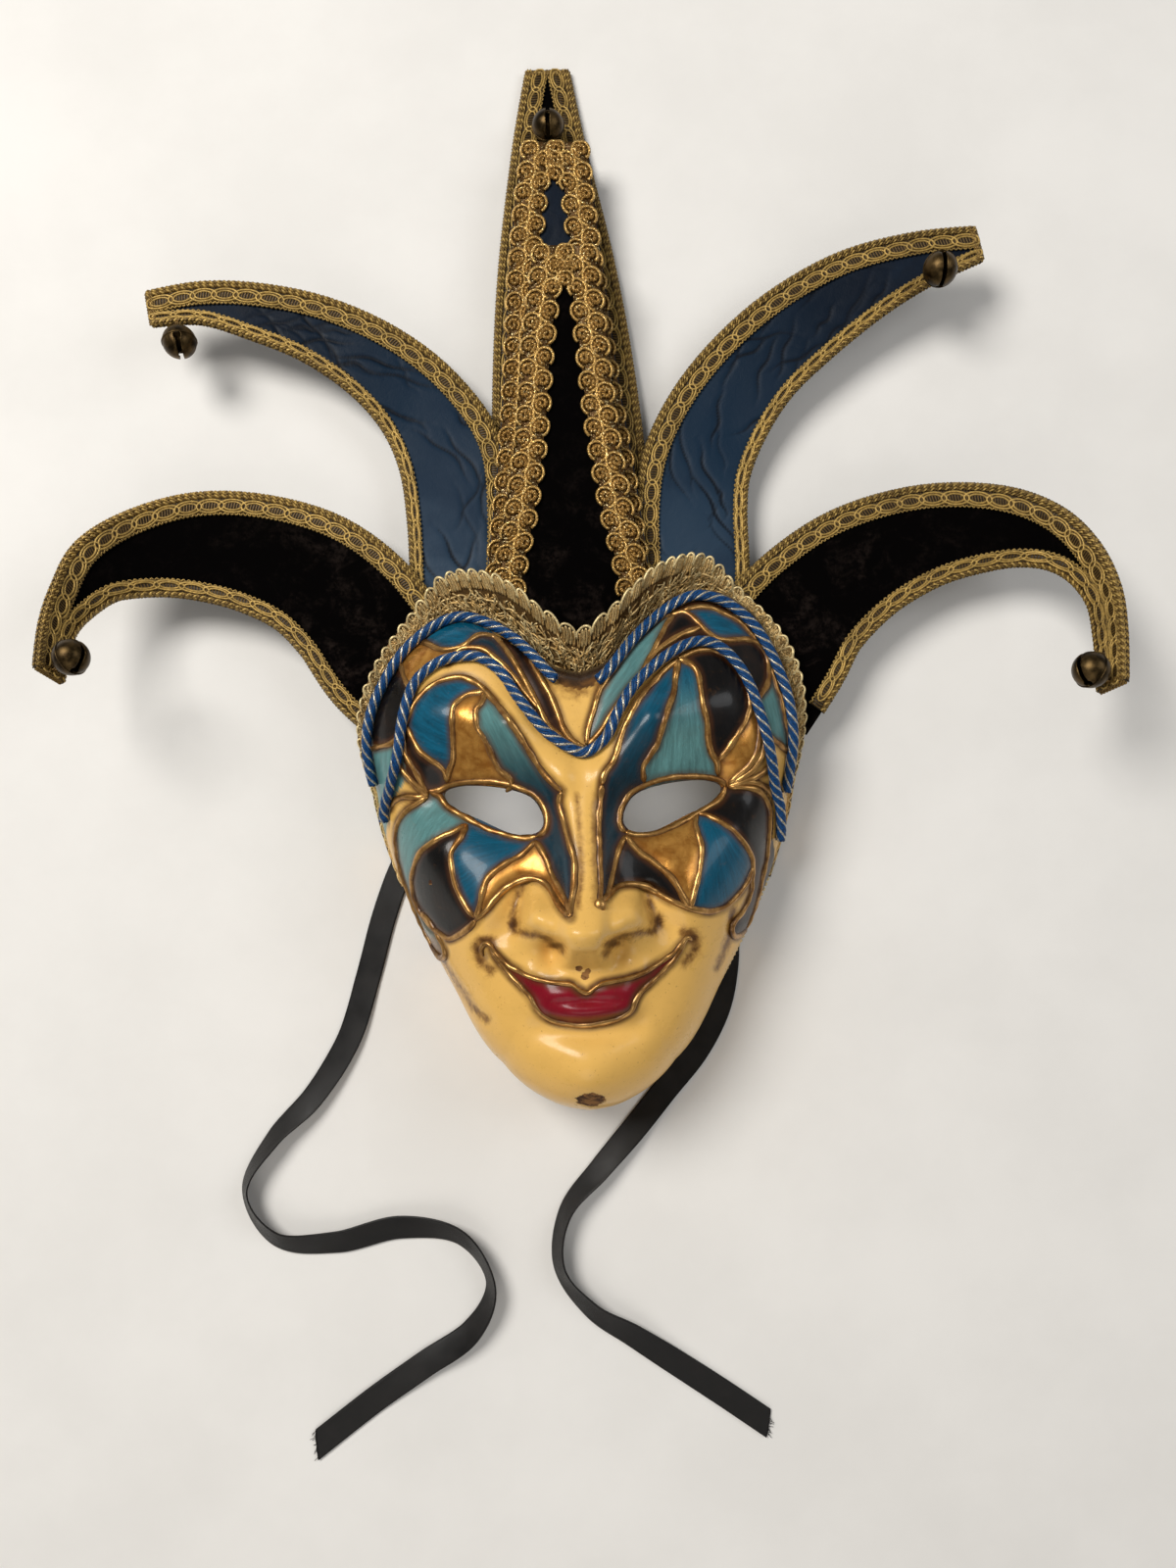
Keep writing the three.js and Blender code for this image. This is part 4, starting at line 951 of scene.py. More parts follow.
# The wall of the crown outside the outer cords is plain umber
CROWN_START, CROWN_END = 6, 69
grid_degrees = np.degrees(np.abs(grid_angle))
cord_out = np.where(grid_angle < 0, *(OUTER_CORDS[word][3] - BAND_FROM for word in ("left", "right")))
cord_share = BAND_FROM + cord_out * smooth((grid_degrees - CROWN_START) / (BAND_WIDEST - CROWN_START))
crown = (grid_degrees < CROWN_END) & (cord_near > CORD_WALL) & (grid_share > cord_share)
region_paint[crown] = PAINTS["umber"][0]
region_gild[crown], region_age[crown] = PAINTS["umber"][1:]
# Brown wash of the hollows together with painted shade in the nostrils, nose wings and along the jaw, darkest
# at the smudges
wash_and_shade_map = np.zeros(grid_x.shape)
groove_map = np.zeros(grid_x.shape)
for wide, strong, depth, points in WASH_AND_SHADE_LINES.values():
    near = distance([even_steps(spline(points, 0.5), 0.5)[0]], 8, 12.0)
    wash_and_shade_map = np.maximum(wash_and_shade_map, strong * np.exp(-((near / wide) ** 2)))
    groove_map = np.maximum(groove_map, depth * np.exp(-((near / (1.3 * wide)) ** 2)))
for x, y, wide, high, strong in WASH_AND_SHADE_SPOTS:
    near = np.hypot((grid_x - x) / wide, (grid_y - y) / high)
    wash_and_shade_map = np.maximum(wash_and_shade_map, strong * np.exp(-(near**2)))
chip_map = np.full(grid_x.shape, -1.0)
for x, y, wide, high in CHIPS:
    chip_map = np.maximum(chip_map, 1 - np.hypot((grid_x - x) / wide, (grid_y - y) / high))


def from_map(field, x, y):
    """The map's value at x, y, blended between its cells."""
    i = np.clip((x - MAP_X) / PITCH, 0, MAP_WIDE - 1.001)
    k = np.clip((y - MAP_Y) / PITCH, 0, MAP_HIGH - 1.001)
    a, b = i.astype(int), k.astype(int)
    f, g = i - a, k - b
    low = field[b, a] * (1 - f) + field[b, a + 1] * f
    high = field[b + 1, a] * (1 - f) + field[b + 1, a + 1] * f
    return low * (1 - g) + high * g


def nearest(field, x, y):
    i = np.clip(np.rint((x - MAP_X) / PITCH), 0, MAP_WIDE - 1).astype(int)
    k = np.clip(np.rint((y - MAP_Y) / PITCH), 0, MAP_HIGH - 1).astype(int)
    return field[k, i]


# Face paint
look = Look("varnished_paint", rough=0.34, Coat_Weight=0.22, Coat_Roughness=0.1, Specular_IOR_Level=0.24)
away = look.tag("line")
gild = look.tag("gild")
age = look.tag("age")
# Brown wash of the hollows, with painted shade in the nostrils, nose wings, jaw and along the lowest edges
shade_and_wash = look.tag("shade_and_wash")
chip = look.tag("chip")
strokes = look.noise(1.0, 5, 0.65, 0.3, look.stretch(look.tag("brush", "Vector"), 1.15, 0.09, 1.0))
broad = look.noise(1.0, 3, 0.5, 0.2, look.stretch(look.tag("brush", "Vector"), 0.3, 0.05, 1.0))
blotch = look.noise(55, 5, 0.6)
fine = look.noise(420, 4, 0.6)
colour = look.tag("paint", "Color")
light = look.span(strokes, 0.28, 0.74, 0.6, 1.45)
light = look.times(light, look.span(broad, 0.25, 0.75, 0.72, 1.25))
even = look.span(blotch, 0.25, 0.75, 0.95, 1.05)
inputs = {"Factor": look.calc("MAXIMUM", age, gild), "A": light, "B": even}
fade = look.node("ShaderNodeMix", inputs, data_type="FLOAT").outputs[0]
base = look.node("ShaderNodeVectorMath", {0: colour, "Scale": fade}, operation="SCALE").outputs[0]
leaf = look.mix(look.span(look.noise(190, 5, 0.6, 0.4), 0.3, 0.7), linear(168, 108, 40), linear(224, 164, 80))
base = look.mix(gild, base, leaf)
edge = look.span(away, 1.0, 3.3, 1.0, 0.0)
edge = look.times(edge, look.span(blotch, 0.34, 0.62, 0.35, 1.0))
wash = look.times(look.span(blotch, 0.5, 0.8), 0.16)
wash = look.calc("MAXIMUM", wash, edge)
wash = look.times(wash, look.span(age, 0.0, 1.0, 0.65, 0.95))
base = look.mix(wash, base, linear(84, 47, 18))
rub = look.noise(240, 5, 0.7, 0.4)
# Rubbed dirt, the wash and the painted shade of the hollows and lowest edges turn the paint to two browns
soil_and_shade = look.calc("ADD", shade_and_wash, look.times(rub, 1.1))
base = look.mix(look.span(soil_and_shade, 0.62, 1.3, 0.0, 0.85), base, linear(134, 90, 42))
base = look.mix(look.span(soil_and_shade, 0.98, 1.5, 0.0, 0.9), base, linear(62, 33, 13))
flecks = look.span(look.noise(900, 2), 0.66, 0.74)
base = look.mix(look.times(flecks, look.times(age, 0.35)), base, linear(120, 74, 34))
bare = look.span(look.calc("ADD", chip, look.times(look.noise(330, 4, 0.7), 0.9)), 0.62, 0.7)
ground = look.mix(look.span(rub, 0.4, 0.6), linear(66, 40, 22), linear(148, 104, 58))
look.base(bare, base, ground)
dull = look.calc("MAXIMUM", look.times(wash, 0.6), bare)
look.put("Metallic", look.times(gild, look.calc("SUBTRACT", 0.7, look.times(dull, 0.7))))
matt = look.span(blotch, 0.3, 0.7, 0.24, 0.4)
look.put("Roughness", look.calc("MAXIMUM", matt, look.times(bare, 0.8)))
look.put("Coat Weight", look.span(look.calc("MAXIMUM", bare, shade_and_wash), 0.2, 0.9, 0.16, 0.0))
first = look.bump(strokes, 0.12, 0.0004)
second = look.bump(blotch, 0.1, 0.0012, first)
third = look.bump(bare, 0.5, -0.0006, second)
look.bump(fine, 0.06, 0.0003, third)
paint_look = look.made

look = Look("raw_papier_mache", rough=0.85)
strips = look.noise(70, 5, 0.6, 1.5)
look.base(look.span(strips, 0.35, 0.65), linear(205, 190, 160), linear(232, 222, 200))
first = look.bump(strips, 0.4, 0.0015)
look.bump(look.cells(60), 0.25, 0.0008, first)
raw_look = look.made

look = Look("painted_edge", rough=0.55)
speck = look.noise(260, 4)
look.base(look.span(speck, 0.35, 0.65), linear(120, 82, 40), linear(60, 36, 18))
look.bump(speck, 0.4, 0.0005)
edge_look = look.made

# The shell: an outer and an inner skin on rays from the middle, joined at the rim
RAYS, RINGS, INNER_RINGS = 480, 112, 36
# Share of a ray from which the wall turns to stand upright at the rim
RIM_FROM = 0.97
# How far the paint stands up between the lines, and over what distance it falls to a line
SWELL, SWELL_OVER = 0.35, 2.2


def skin(rings):
    share = np.sin(np.linspace(0, math.pi / 2, rings + 1))[1:]
    angle = np.linspace(-math.pi, math.pi, RAYS, endpoint=False)
    points = by_ray(angle[None] + 0 * share[:, None], share[:, None] + 0 * angle[None])
    along = np.roll(points, -1, 1) - np.roll(points, 1, 1)
    outward = np.gradient(points, axis=0)
    normal = outwards(unit(np.cross(outward, along)), points, UNDER_FACE)
    flat = outwards(unit(np.cross(along[-1], UP)), points[-1], (0, MIDDLE_Y, 0))
    normal[-1] = flat
    blend = smooth((share - RIM_FROM) / 0.03)[:, None, None]
    normal = unit(normal * (1 - blend) + flat[None] * blend)
    return points, normal


outer, outer_normal = skin(RINGS)
deep, deep_normal = skin(INNER_RINGS)
swell = SWELL * (1 - np.exp(-((from_map(line_near, outer[..., 0], outer[..., 1]) / SWELL_OVER) ** 2)))
swell *= smooth((RIM_FROM - np.linspace(0, 1, RINGS)) / 0.05)[:, None]
swell = swell - 0.1 * (swell > 0) - from_map(groove_map, outer[..., 0], outer[..., 1])
outer = outer + outer_normal * swell[..., None]
deep = deep - deep_normal * WALL
deep[-1, :, 2] = outer[-1, :, 2]
tip = by_ray(np.array([0.0]), np.array([0.0]))
tip_in = tip - np.array([[0, 0, WALL]])
ring = np.arange(RAYS)
following = (ring + 1) % RAYS
count = RINGS * RAYS
heap = Heap()
points = np.vstack([outer.reshape(-1, 3), deep.reshape(-1, 3), tip, tip_in])
outer_quads = grid_faces(RINGS, RAYS)
inner_quads = grid_faces(INNER_RINGS, RAYS, start=count)[:, ::-1]
last_out, last_in = (RINGS - 1) * RAYS, count + (INNER_RINGS - 1) * RAYS
rim_quads = np.stack([last_out + ring, last_out + following, last_in + following, last_in + ring], -1)
apex = len(points) - 2
cap = np.stack([np.full(RAYS, apex), following, ring], -1)
cap_in = np.stack([np.full(RAYS, apex + 1), count + ring, count + following], -1)
heap.add((points, [outer_quads, cap]))
RAW_PAINT, EDGE_PAINT = 1, 2
heap.faces += [(inner_quads, RAW_PAINT), (cap_in, RAW_PAINT), (rim_quads, EDGE_PAINT)]
face_looks = [paint_look, raw_look, edge_look]
face = heap.build("painted_face", face_looks, "face_shell")

# Eye holes, cut straight through
EYE_CUT_FROM, EYE_CUT_TO = 15.0, 90.0
for eye in eyes:
    count = len(eye)
    around = np.arange(count)
    walls = np.stack([around, (around + 1) % count], -1)
    walls = np.column_stack([walls, walls[:, ::-1] + count])
    body = np.vstack([np.column_stack([eye, np.full(count, z)]) for z in (EYE_CUT_FROM, EYE_CUT_TO)])
    body, blocks = right_way(body, [walls, around[::-1][None], (around + count)[None]])
    knife = plain_mesh("eye_cut", [(to_frame(body), blocks)])
    for look in face_looks:
        knife.data.materials.append(look)
    for polygon in knife.data.polygons:
        polygon.material_index = EDGE_PAINT
    cut_away(face, knife)

mesh = face.data
spots = np.empty(len(mesh.vertices) * 3)
mesh.vertices.foreach_get("co", spots)
spots = spots.reshape(-1, 3) / MM - SHIFT
x, y = spots[:, 0], spots[:, 1]
label(mesh, "paint", "FLOAT_COLOR", np.column_stack([nearest(region_paint, x, y), np.ones(len(x))]))
label(mesh, "brush", "FLOAT_VECTOR", nearest(brush, x, y))
label(mesh, "gild", "FLOAT", nearest(region_gild, x, y))
label(mesh, "age", "FLOAT", nearest(region_age, x, y))
label(mesh, "line", "FLOAT", from_map(line_near, x, y))
label(mesh, "chip", "FLOAT", from_map(chip_map, x, y))
# Painted shade: the paint darkens within 5 mm of the floor, at the lowest edges of the lying mask, on top of
# the wash and painted shade of the hollows
label(mesh, "shade_and_wash", "FLOAT", np.maximum(from_map(wash_and_shade_map, x, y), 0.8 * smooth((5 - spots[:, 2]) / 4)))
mesh.polygons.foreach_set("use_smooth", np.ones(len(mesh.polygons), bool))

# Raised gold lines
look = Look("gold_relief", rough=0.36, metal=0.85, Coat_Weight=0.2, Coat_Roughness=0.2)
rubbed = look.noise(180, 5, 0.65, 0.4)
bead = look.mix(look.span(rubbed, 0.32, 0.68), linear(138, 94, 44), linear(200, 154, 88))
sides = look.times(look.span(look.tag("tone"), 0.45, 0.95), look.span(rubbed, 0.3, 0.6, 1.0, 0.55))
look.base(sides, bead, linear(58, 32, 14))
look.put("Metallic", look.span(sides, 0.0, 1.0, 0.85, 0.2))
look.put("Roughness", look.span(rubbed, 0.3, 0.7, 0.42, 0.28))
look.bump(look.noise(500, 4, 0.6), 0.25, 0.0004)
gold_look = look.made
heap = Heap()
# Section of a line: across in half widths, and up in heights or, below 0, in millimetres
LANES = np.array([-1.0, -0.92, -0.66, -0.34, 0.0, 0.34, 0.66, 0.92, 1.0])
LIFT = np.array([-0.45, 0.12, 0.62, 0.92, 1.0, 0.92, 0.62, 0.12, -0.45])
LINE_HALF, LIP_LINE_HALF, LINE_HIGH = 1.32, 1.05, 0.92
for number, (name, path) in enumerate(lines.items()):
    steps = len(path)
    run = np.arange(steps) * LINE_STEP
    centre = over(path[:, 0], path[:, 1])
    normal = face_normal(path[:, 0], path[:, 1])
    ahead = unit(np.gradient(centre, axis=0))
    across = unit(np.cross(normal, ahead))
    ends = np.minimum(1, 0.45 + np.minimum(run, run[-1] - run) / 3.0)
    wide = LIP_LINE_HALF if "lip" in name else LINE_HALF
    wide = wide * (1 + 0.17 * ripples(run / 9, 0 * run, (1.6, 1), number)) * ends
    high = LINE_HIGH * (1 + 0.2 * ripples(run / 7, 0 * run, (1.5, 1), number + 90)) * ends
    bead = centre[:, None] + across[:, None] * (wide[:, None] * LANES)[..., None]
    bead = bead + normal[:, None] * np.where(LIFT > 0, high[:, None] * LIFT, LIFT)[..., None]
    heap.add(sweep(bead), np.tile(np.abs(LANES), steps), np.repeat(run, len(LANES)))
# The right nose line ends in a drop
DROP_SPOT, DROP_SIZE = (5.0, 78.5), (2.1, 2.5, 1.3)
heap.add(sweep(over(*DROP_SPOT) + ball(18, 9, 0.02) * DROP_SIZE), 0.2)
heap.build("gold_lines", [gold_look], "face_shell")

# Twisted cords: six blue yarns and three silver strands wound round each other
look = Look("blue_yarn", rough=0.45, Specular_IOR_Level=0.25, Sheen_Weight=0.015, Sheen_Roughness=0.35)
ply = look.noise(1.0, 3, 0.6, 0.0, look.stretch(look.tag("strand", "Vector"), 3.0, 0.9, 1.0))
look.base(look.span(ply, 0.3, 0.7), linear(2, 22, 50), linear(8, 80, 142))
look.put("Sheen Tint", (0.35, 0.55, 0.9, 1.0))
look.bump(ply, 0.5, 0.0003)
yarn_look = look.made
look = Look("silver_strand", rough=0.3, metal=0.75)
ply = look.noise(1.0, 2, 0.6, 0.0, look.stretch(look.tag("strand", "Vector"), 2.0, 2.6, 1.0))
look.base(look.span(ply, 0.35, 0.65), linear(96, 90, 78), linear(236, 228, 208))
look.bump(ply, 0.6, 0.0003)
silver_look = look.made
CORD_LIFT, CORD_PITCH = 2.3, 15.6
# Where round the cord each strand starts
BLUE_TURNS = np.radians([-24, 24, 96, 144, 216, 264])
SILVER_TURNS = np.radians([60, 180, 300])


def twisted(name, path, node):
    line, run = even_steps(path, 0.8)
    out = line - UNDER_FACE
    ahead = unit(np.gradient(line, axis=0))
    rise = unit(out - ahead * np.einsum("ij,ij->i", out, ahead)[:, None])
    side = np.cross(rise, ahead)
    heap = Heap()
    strands = ((BLUE_TURNS, 1.32, 0.74, 7), (SILVER_TURNS, 1.5, 0.56, 6))
    for paint, (turns, radius, thick, sides) in enumerate(strands):
        for number, turn in enumerate(turns):
            angle = turn + TURN * run / CORD_PITCH
            spoke = rise * np.cos(angle)[:, None] + side * np.sin(angle)[:, None]
            wind = radius * (1 + 0.05 * ripples(run / 12, 0 * run, (1, 1), number))
            strand = tubes(line + spoke * wind[:, None], spoke, thick, sides)
            heap.add(strand, number * 3.0 + paint, np.repeat(run, sides), paint)
    # A core, so that nothing shows between the yarns
    heap.add(tubes(line, rise, 1.0))
    thing = heap.build(name, [yarn_look, silver_look], node)
    tone, run = np.concatenate(heap.tone), np.concatenate(heap.run)
    spin = np.arange(heap.count) % 7 / 7 * 5.4
    label(thing.data, "strand", "FLOAT_VECTOR", np.column_stack([spin, run + spin, tone * 7]))


flat_path = even_steps(spline(INNER_CORD, 0.4), 0.8)[0]
lifted = over(flat_path[:, 0], flat_path[:, 1]) + face_normal(flat_path[:, 0], flat_path[:, 1]) * CORD_LIFT
twisted("twist_inner", lifted, "inner_cord")
for word in OUTER_CORDS:
    angle, share = outer_cord_line(word)
    foot = by_ray(angle, share)
    step = 0.004
    along = by_ray(angle + step, share) - by_ray(angle - step, share)
    outward = by_ray(angle, share + step) - by_ray(angle, share - step)
    normal = unit(np.cross(along, outward))
    normal *= np.sign(normal[:, 2:])
    twisted("twist_outer_" + word, foot + normal * CORD_LIFT, "outer_cord_" + word)

# Horns: cloth panels
PANEL = 2.0
CREASES, CREASE_WIDE, CREASE_DEEP = 34, 0.8, 0.55
# Points along and across a panel, more of them where creases show
CREASED_MESH, PLAIN_MESH = (204, 51), (120, 29)


def station(rows, share):
    def middle(s):
        return np.stack([column(rows[:, k], s) for k in range(3)], -1)

    ahead = unit(middle(np.minimum(1, share + 0.01)) - middle(np.maximum(0, share - 0.01)))
    level = unit(np.cross(UP, ahead))
    upright = np.cross(ahead, level)
    turn = np.radians(column(rows[:, 4], share))[..., None]
    side = level * np.cos(turn) - upright * np.sin(turn)
    front = upright * np.cos(turn) + level * np.sin(turn)
    return middle(share), side, front, column(rows[:, 3], share) / 2


look = Look("navy_satin", rough=0.5, Specular_IOR_Level=0.14, Sheen_Weight=0.03, Sheen_Roughness=0.4)
look.put("Sheen Tint", (0.45, 0.6, 0.95, 1.0))
cloud = look.noise(26, 5, 0.6, 0.8)
weft = look.noise(1.0, 3, 0.6, 0.0, look.stretch(look.place(), 2600, 700, 900))
run = look.tag("run")
# Painted sheen: the satin is lighter and greyer near the horn's base, and it grows darker towards the tip
cloth = look.mix(look.span(run, 0.06, 0.4), linear(46, 66, 86), linear(15, 38, 58))
cloth = look.mix(look.span(run, 0.36, 0.85), cloth, linear(4, 15, 29))
cloth = look.mix(look.span(cloud, 0.42, 0.72, 0.0, 0.55), cloth, linear(10, 31, 52))
# Painted shade: the colour darkens to near black along the creases, by their depth kept as tone
cloth = look.mix(look.span(look.tag("tone"), 0.12, 0.8, 0.0, 0.9), cloth, linear(3, 8, 18))
look.put("Base Color", cloth)
look.put("Roughness", look.span(cloud, 0.3, 0.7, 0.4, 0.58))
first = look.bump(weft, 0.18, 0.0002)
look.bump(look.noise(160, 4, 0.6, 1.2), 0.16, 0.0008, first)
satin_look = look.made

look = Look("black_velvet", rough=0.95, Specular_IOR_Level=0.02, Sheen_Weight=0.011, Sheen_Roughness=0.5)
look.put("Sheen Tint", (0.62, 0.5, 0.42, 1.0))
crush = look.noise(75, 6, 0.7, 0.5)
pile = look.noise(2200, 2)
speck = look.noise(420, 4, 0.7)
marks = look.times(look.span(crush, 0.46, 0.72), look.span(speck, 0.35, 0.62))
marks = look.times(marks, look.span(look.tag("run"), 0.05, 0.6, 1.0, 0.15))
look.base(marks, linear(4, 3, 3), linear(36, 29, 26))
first = look.bump(pile, 0.5, 0.0003)
look.bump(crush, 0.3, 0.0012, first)
velvet_look = look.made


def creases(u, v, half, count, seed):
    """How deep a crease is at each place of a cloth: thin broken lines that run slantwise."""
    local = np.random.default_rng(seed)
    deep = np.zeros(u.shape)
    length, reach = u.max(), half.max()
    for _ in range(count):
        at_u, at_v = local.uniform(0.08, 0.8) * length, local.uniform(-0.7, 0.7) * reach
        slope = local.choice([-1, 1], p=[0.25, 0.75]) * local.uniform(0.25, 0.75)
        long = local.uniform(8, 22)
        steps = np.linspace(-1, 1, 15)
        bend = local.uniform(-4, 4)
        line_u = at_u + steps * long
        line_v = at_v + steps * long * slope + bend * steps**2 + 0.9 * np.sin(steps * 7 + at_u)
        strong = local.uniform(0.45, 1.0)
        for k in range(14):
            du, dv = line_u[k + 1] - line_u[k], line_v[k + 1] - line_v[k]
            t = np.clip(((u - line_u[k]) * du + (v - line_v[k]) * dv) / (du * du + dv * dv), 0, 1)
            gap = np.hypot(u - line_u[k] - t * du, v - line_v[k] - t * dv)
            fade = strong * (1 - steps[k] ** 2)
            deep = np.maximum(deep, fade * np.exp(-((gap / CREASE_WIDE) ** 2)))
    return deep


def panel(name, node, slot, made_of, seed):
    rows = HORNS[name]
    satin = slot == "blue_satin"
    fine = satin and name != "middle_spike"
    steps, across = CREASED_MESH if fine else PLAIN_MESH
    share = np.linspace(0, 1, steps)
    centre, side, front, half = station(rows, share)
    lanes = np.linspace(-1, 1, across)
    long = lengths(centre)
    u, v = np.meshgrid(long, lanes, indexing="ij")
    v_mm = v * half[:, None]
    folds = creases(u, v_mm, half, CREASES, seed) if satin else np.zeros(u.shape)
    round_off = 1 - 0.35 * np.abs(v) ** 8
    soft = 0.16 * ripples(u / 22, v_mm / 18, (1, 1), seed + 3)
    high = np.clip((PANEL / 2 - 0.2) * round_off + soft - CREASE_DEEP * folds, 0.15, PANEL / 2)
    plane = centre[:, None] + side[:, None] * v_mm[..., None]
    top = plane + front[:, None] * high[..., None]
    under = np.linspace(1, -1, 7)
    back = (PANEL / 2 - 0.12) * (1 - 0.35 * np.abs(under) ** 8)
    low = centre[:, None] + side[:, None] * (under[None] * half[:, None])[..., None]
    low = low - front[:, None] * back[None, :, None]
    heap = Heap()
    # The crease depth goes into tone, from which the satin look paints shade along the creases
    tone = np.concatenate([folds, np.zeros((len(share), 7))], axis=1)
    run = np.broadcast_to(share[:, None], tone.shape)
    heap.add(sweep(np.concatenate([top, low], axis=1)), tone.ravel(), run.ravel())
    heap.build(name + "_cloth", [made_of], node)


CLOTHS = [
    ("left_black", "left_black_horn", "black_velvet"),
    ("left_blue", "left_blue_horn", "blue_satin"),
    ("back_spike", "back_black_spike", "black_velvet"),
    ("middle_spike", "middle_blue_spike", "blue_satin"),
    ("front_spike", "front_black_spike", "black_velvet"),
    ("right_blue", "right_blue_horn", "blue_satin"),
    ("right_black", "right_black_horn", "black_velvet"),
]
for number, (name, node, slot) in enumerate(CLOTHS):
    panel(name, node, slot, satin_look if slot == "blue_satin" else velvet_look, 40 + 7 * number)

# Gold braid and gimp
look = Look("gold_braid", rough=0.45, metal=0.4, Sheen_Weight=0.05)
twist = look.noise(900, 3, 0.6)
dull = look.noise(60, 4)
thread_colour = look.yarns(linear(38, 27, 9), linear(128, 98, 40), linear(200, 166, 90))
thread_colour = look.mix(look.span(dull, 0.45, 0.75, 0.0, 0.4), thread_colour, linear(88, 64, 24))
look.base(look.span(twist, 0.35, 0.65, 0.4, 0.0), thread_colour, linear(48, 34, 12))
look.bump(twist, 0.5, 0.0003)
braid_look = look.made
look = Look("gold_gimp", rough=0.34, metal=0.6)
spark = look.noise(1300, 2, 0.5)
thread_colour = look.yarns(linear(62, 43, 17), linear(166, 126, 60), linear(212, 172, 98))
thread_colour = look.mix(look.span(spark, 0.4, 0.56, 0.65, 0.0), thread_colour, linear(96, 64, 24))
# Painted glints: near-white specks set into the thread colour
look.base(look.span(spark, 0.6, 0.68, 0.0, 0.8), thread_colour, linear(248, 226, 168))
look.put("Roughness", look.span(spark, 0.4, 0.6, 0.5, 0.2))
look.bump(spark, 0.8, 0.0006)
gimp_look = look.made


class Strip:
    """A trim along one edge of a horn: u along the edge, v inwards from it and w up from the cloth."""

    def __init__(self, rows, edge, start, widest, other):
        share = np.linspace(start, 1, 700)
        centre, side, front, half = station(rows, share)
        self.line = centre + side * (edge * half)[:, None] + front * (PANEL / 2)
        self.inward = -edge * side
        self.front = front
        self.wide = np.clip(2 * half - np.minimum(other, half), 0, widest)
        self.halves = half
        self.length = lengths(self.line)
        self.end = self.length[-1]

    def take(self, field, u):
        return between(u, self.length, field)

    def width(self, u):
        return np.interp(u, self.length, self.wide)

    def half(self, u):
        return np.interp(u, self.length, self.halves)

    def at(self, u, v, w):
        u, v, w = np.broadcast_arrays(u, v, w)
        line, inward, front = (self.take(field, u) for field in (self.line, self.inward, self.front))
        return line + inward * v[..., None] + front * w[..., None]


def put_tubes(heap, strip, u, v, w, radius, tone, sides=5, closed=False, flat=1.0):
    u = np.clip(u, 0, strip.end)
    u, v, w = np.broadcast_arrays(np.atleast_2d(u), np.atleast_2d(v), np.atleast_2d(w))
    heap.add(tubes(strip.at(u, v, w), strip.take(strip.front, u), radius, sides, closed, flat), tone)


# Width from which a braid has two ropes on its edge
BROAD_FROM = 7
BRAID_BASE = [
    (-0.55, -1.9), (-0.7, -1.0), (-0.6, 0.1), (-0.2, 0.5), (0.5, 0.5), (1.0, 0.5),
    (1.0, 0.08), (0.5, 0.08), (0.05, 0.08), (-0.2, -0.1), (-0.25, -1.0), (-0.2, -1.9),
]
GIMP_BASE = [(0.03, 0.45), (0.5, 0.5), (0.86, 0.45), (0.86, 0.06), (0.5, 0.06), (0.03, 0.06)]


def trim_base(heap, strip, stops, tone):
    """The base of a trim. Stops are v, as a share of the width where it is above 0, and w."""
    u = np.append(np.arange(0, strip.end, 1.5), strip.end)
    v, w = np.array(stops).T
    heap.add(sweep(strip.at(u[:, None], np.where(v > 0, v * strip.width(u)[:, None], v), w)), tone)


def rope(heap, strip, v, w, ply_radius, pitch, tone, step=0.64):
    run = np.arange(0, strip.end, step)
    for ply, lighter in ((0, 0.3), (math.pi, -0.25)):
        wind = TURN * run / pitch + ply
        across, high = v + 0.9 * ply_radius * np.cos(wind), w + 0.8 * ply_radius * np.sin(wind)
        put_tubes(heap, strip, run, across, high, 1.12 * ply_radius, tone + lighter, 3)


def braid(heap, strip, pitch):
    trim_base(heap, strip, BRAID_BASE, 0.0)
    broad = strip.wide.max() > BROAD_FROM
    middle, reach = (0.61, 0.3) if broad else (0.58, 0.31)
    # Threads across
    u = np.arange(0.6, strip.end - 0.3, 1.15)[:, None]
    f = np.linspace(0.25 if broad else 0.1, 0.97, 4)[None]
    high = 0.55 + 0.08 * np.cos(12 * f)
    put_tubes(heap, strip, u + 0.25 * np.sin(9 * f), f * strip.width(u), high, 0.36, 0.3, 3)
    # A chain of linked ovals, each of two cords, set out from the tip
    links = np.arange(strip.end - 0.5 * pitch, 0.4 * pitch, -0.94 * pitch)[:, None]
    turn = circle(18)[None]
    wide = strip.width(links)
    for grow, tone in ((1.0, 1.0), (0.64, 0.85)):
        u = links + (0.57 * pitch * grow + 0.1) * np.cos(turn)
        v = middle * wide + (reach * wide * grow + 0.1) * np.sin(turn)
        put_tubes(heap, strip, u, v, 0.8 + 0.14 * np.sin(turn), 0.46, tone, 4, True)
    # Ropes along the edge and round it, and looped rows on both sides
    for place in (0.2, 1.35) if broad else (0.25,):
        rope(heap, strip, place, 0.66, 0.52, 2.9, 0.62)
    rope(heap, strip, -0.6, -0.85, 0.5, 2.9, 0.45)
    run = np.arange(0, strip.end, 0.46)
    wave = np.sin(TURN * run / 1.9)
    put_tubes(heap, strip, run, -0.5 - 0.35 * wave, 0.3, 0.45, 0.75, 3)
    put_tubes(heap, strip, run, strip.width(run) - 0.1 + 0.42 * wave, 0.6, 0.41, 0.8, 3)


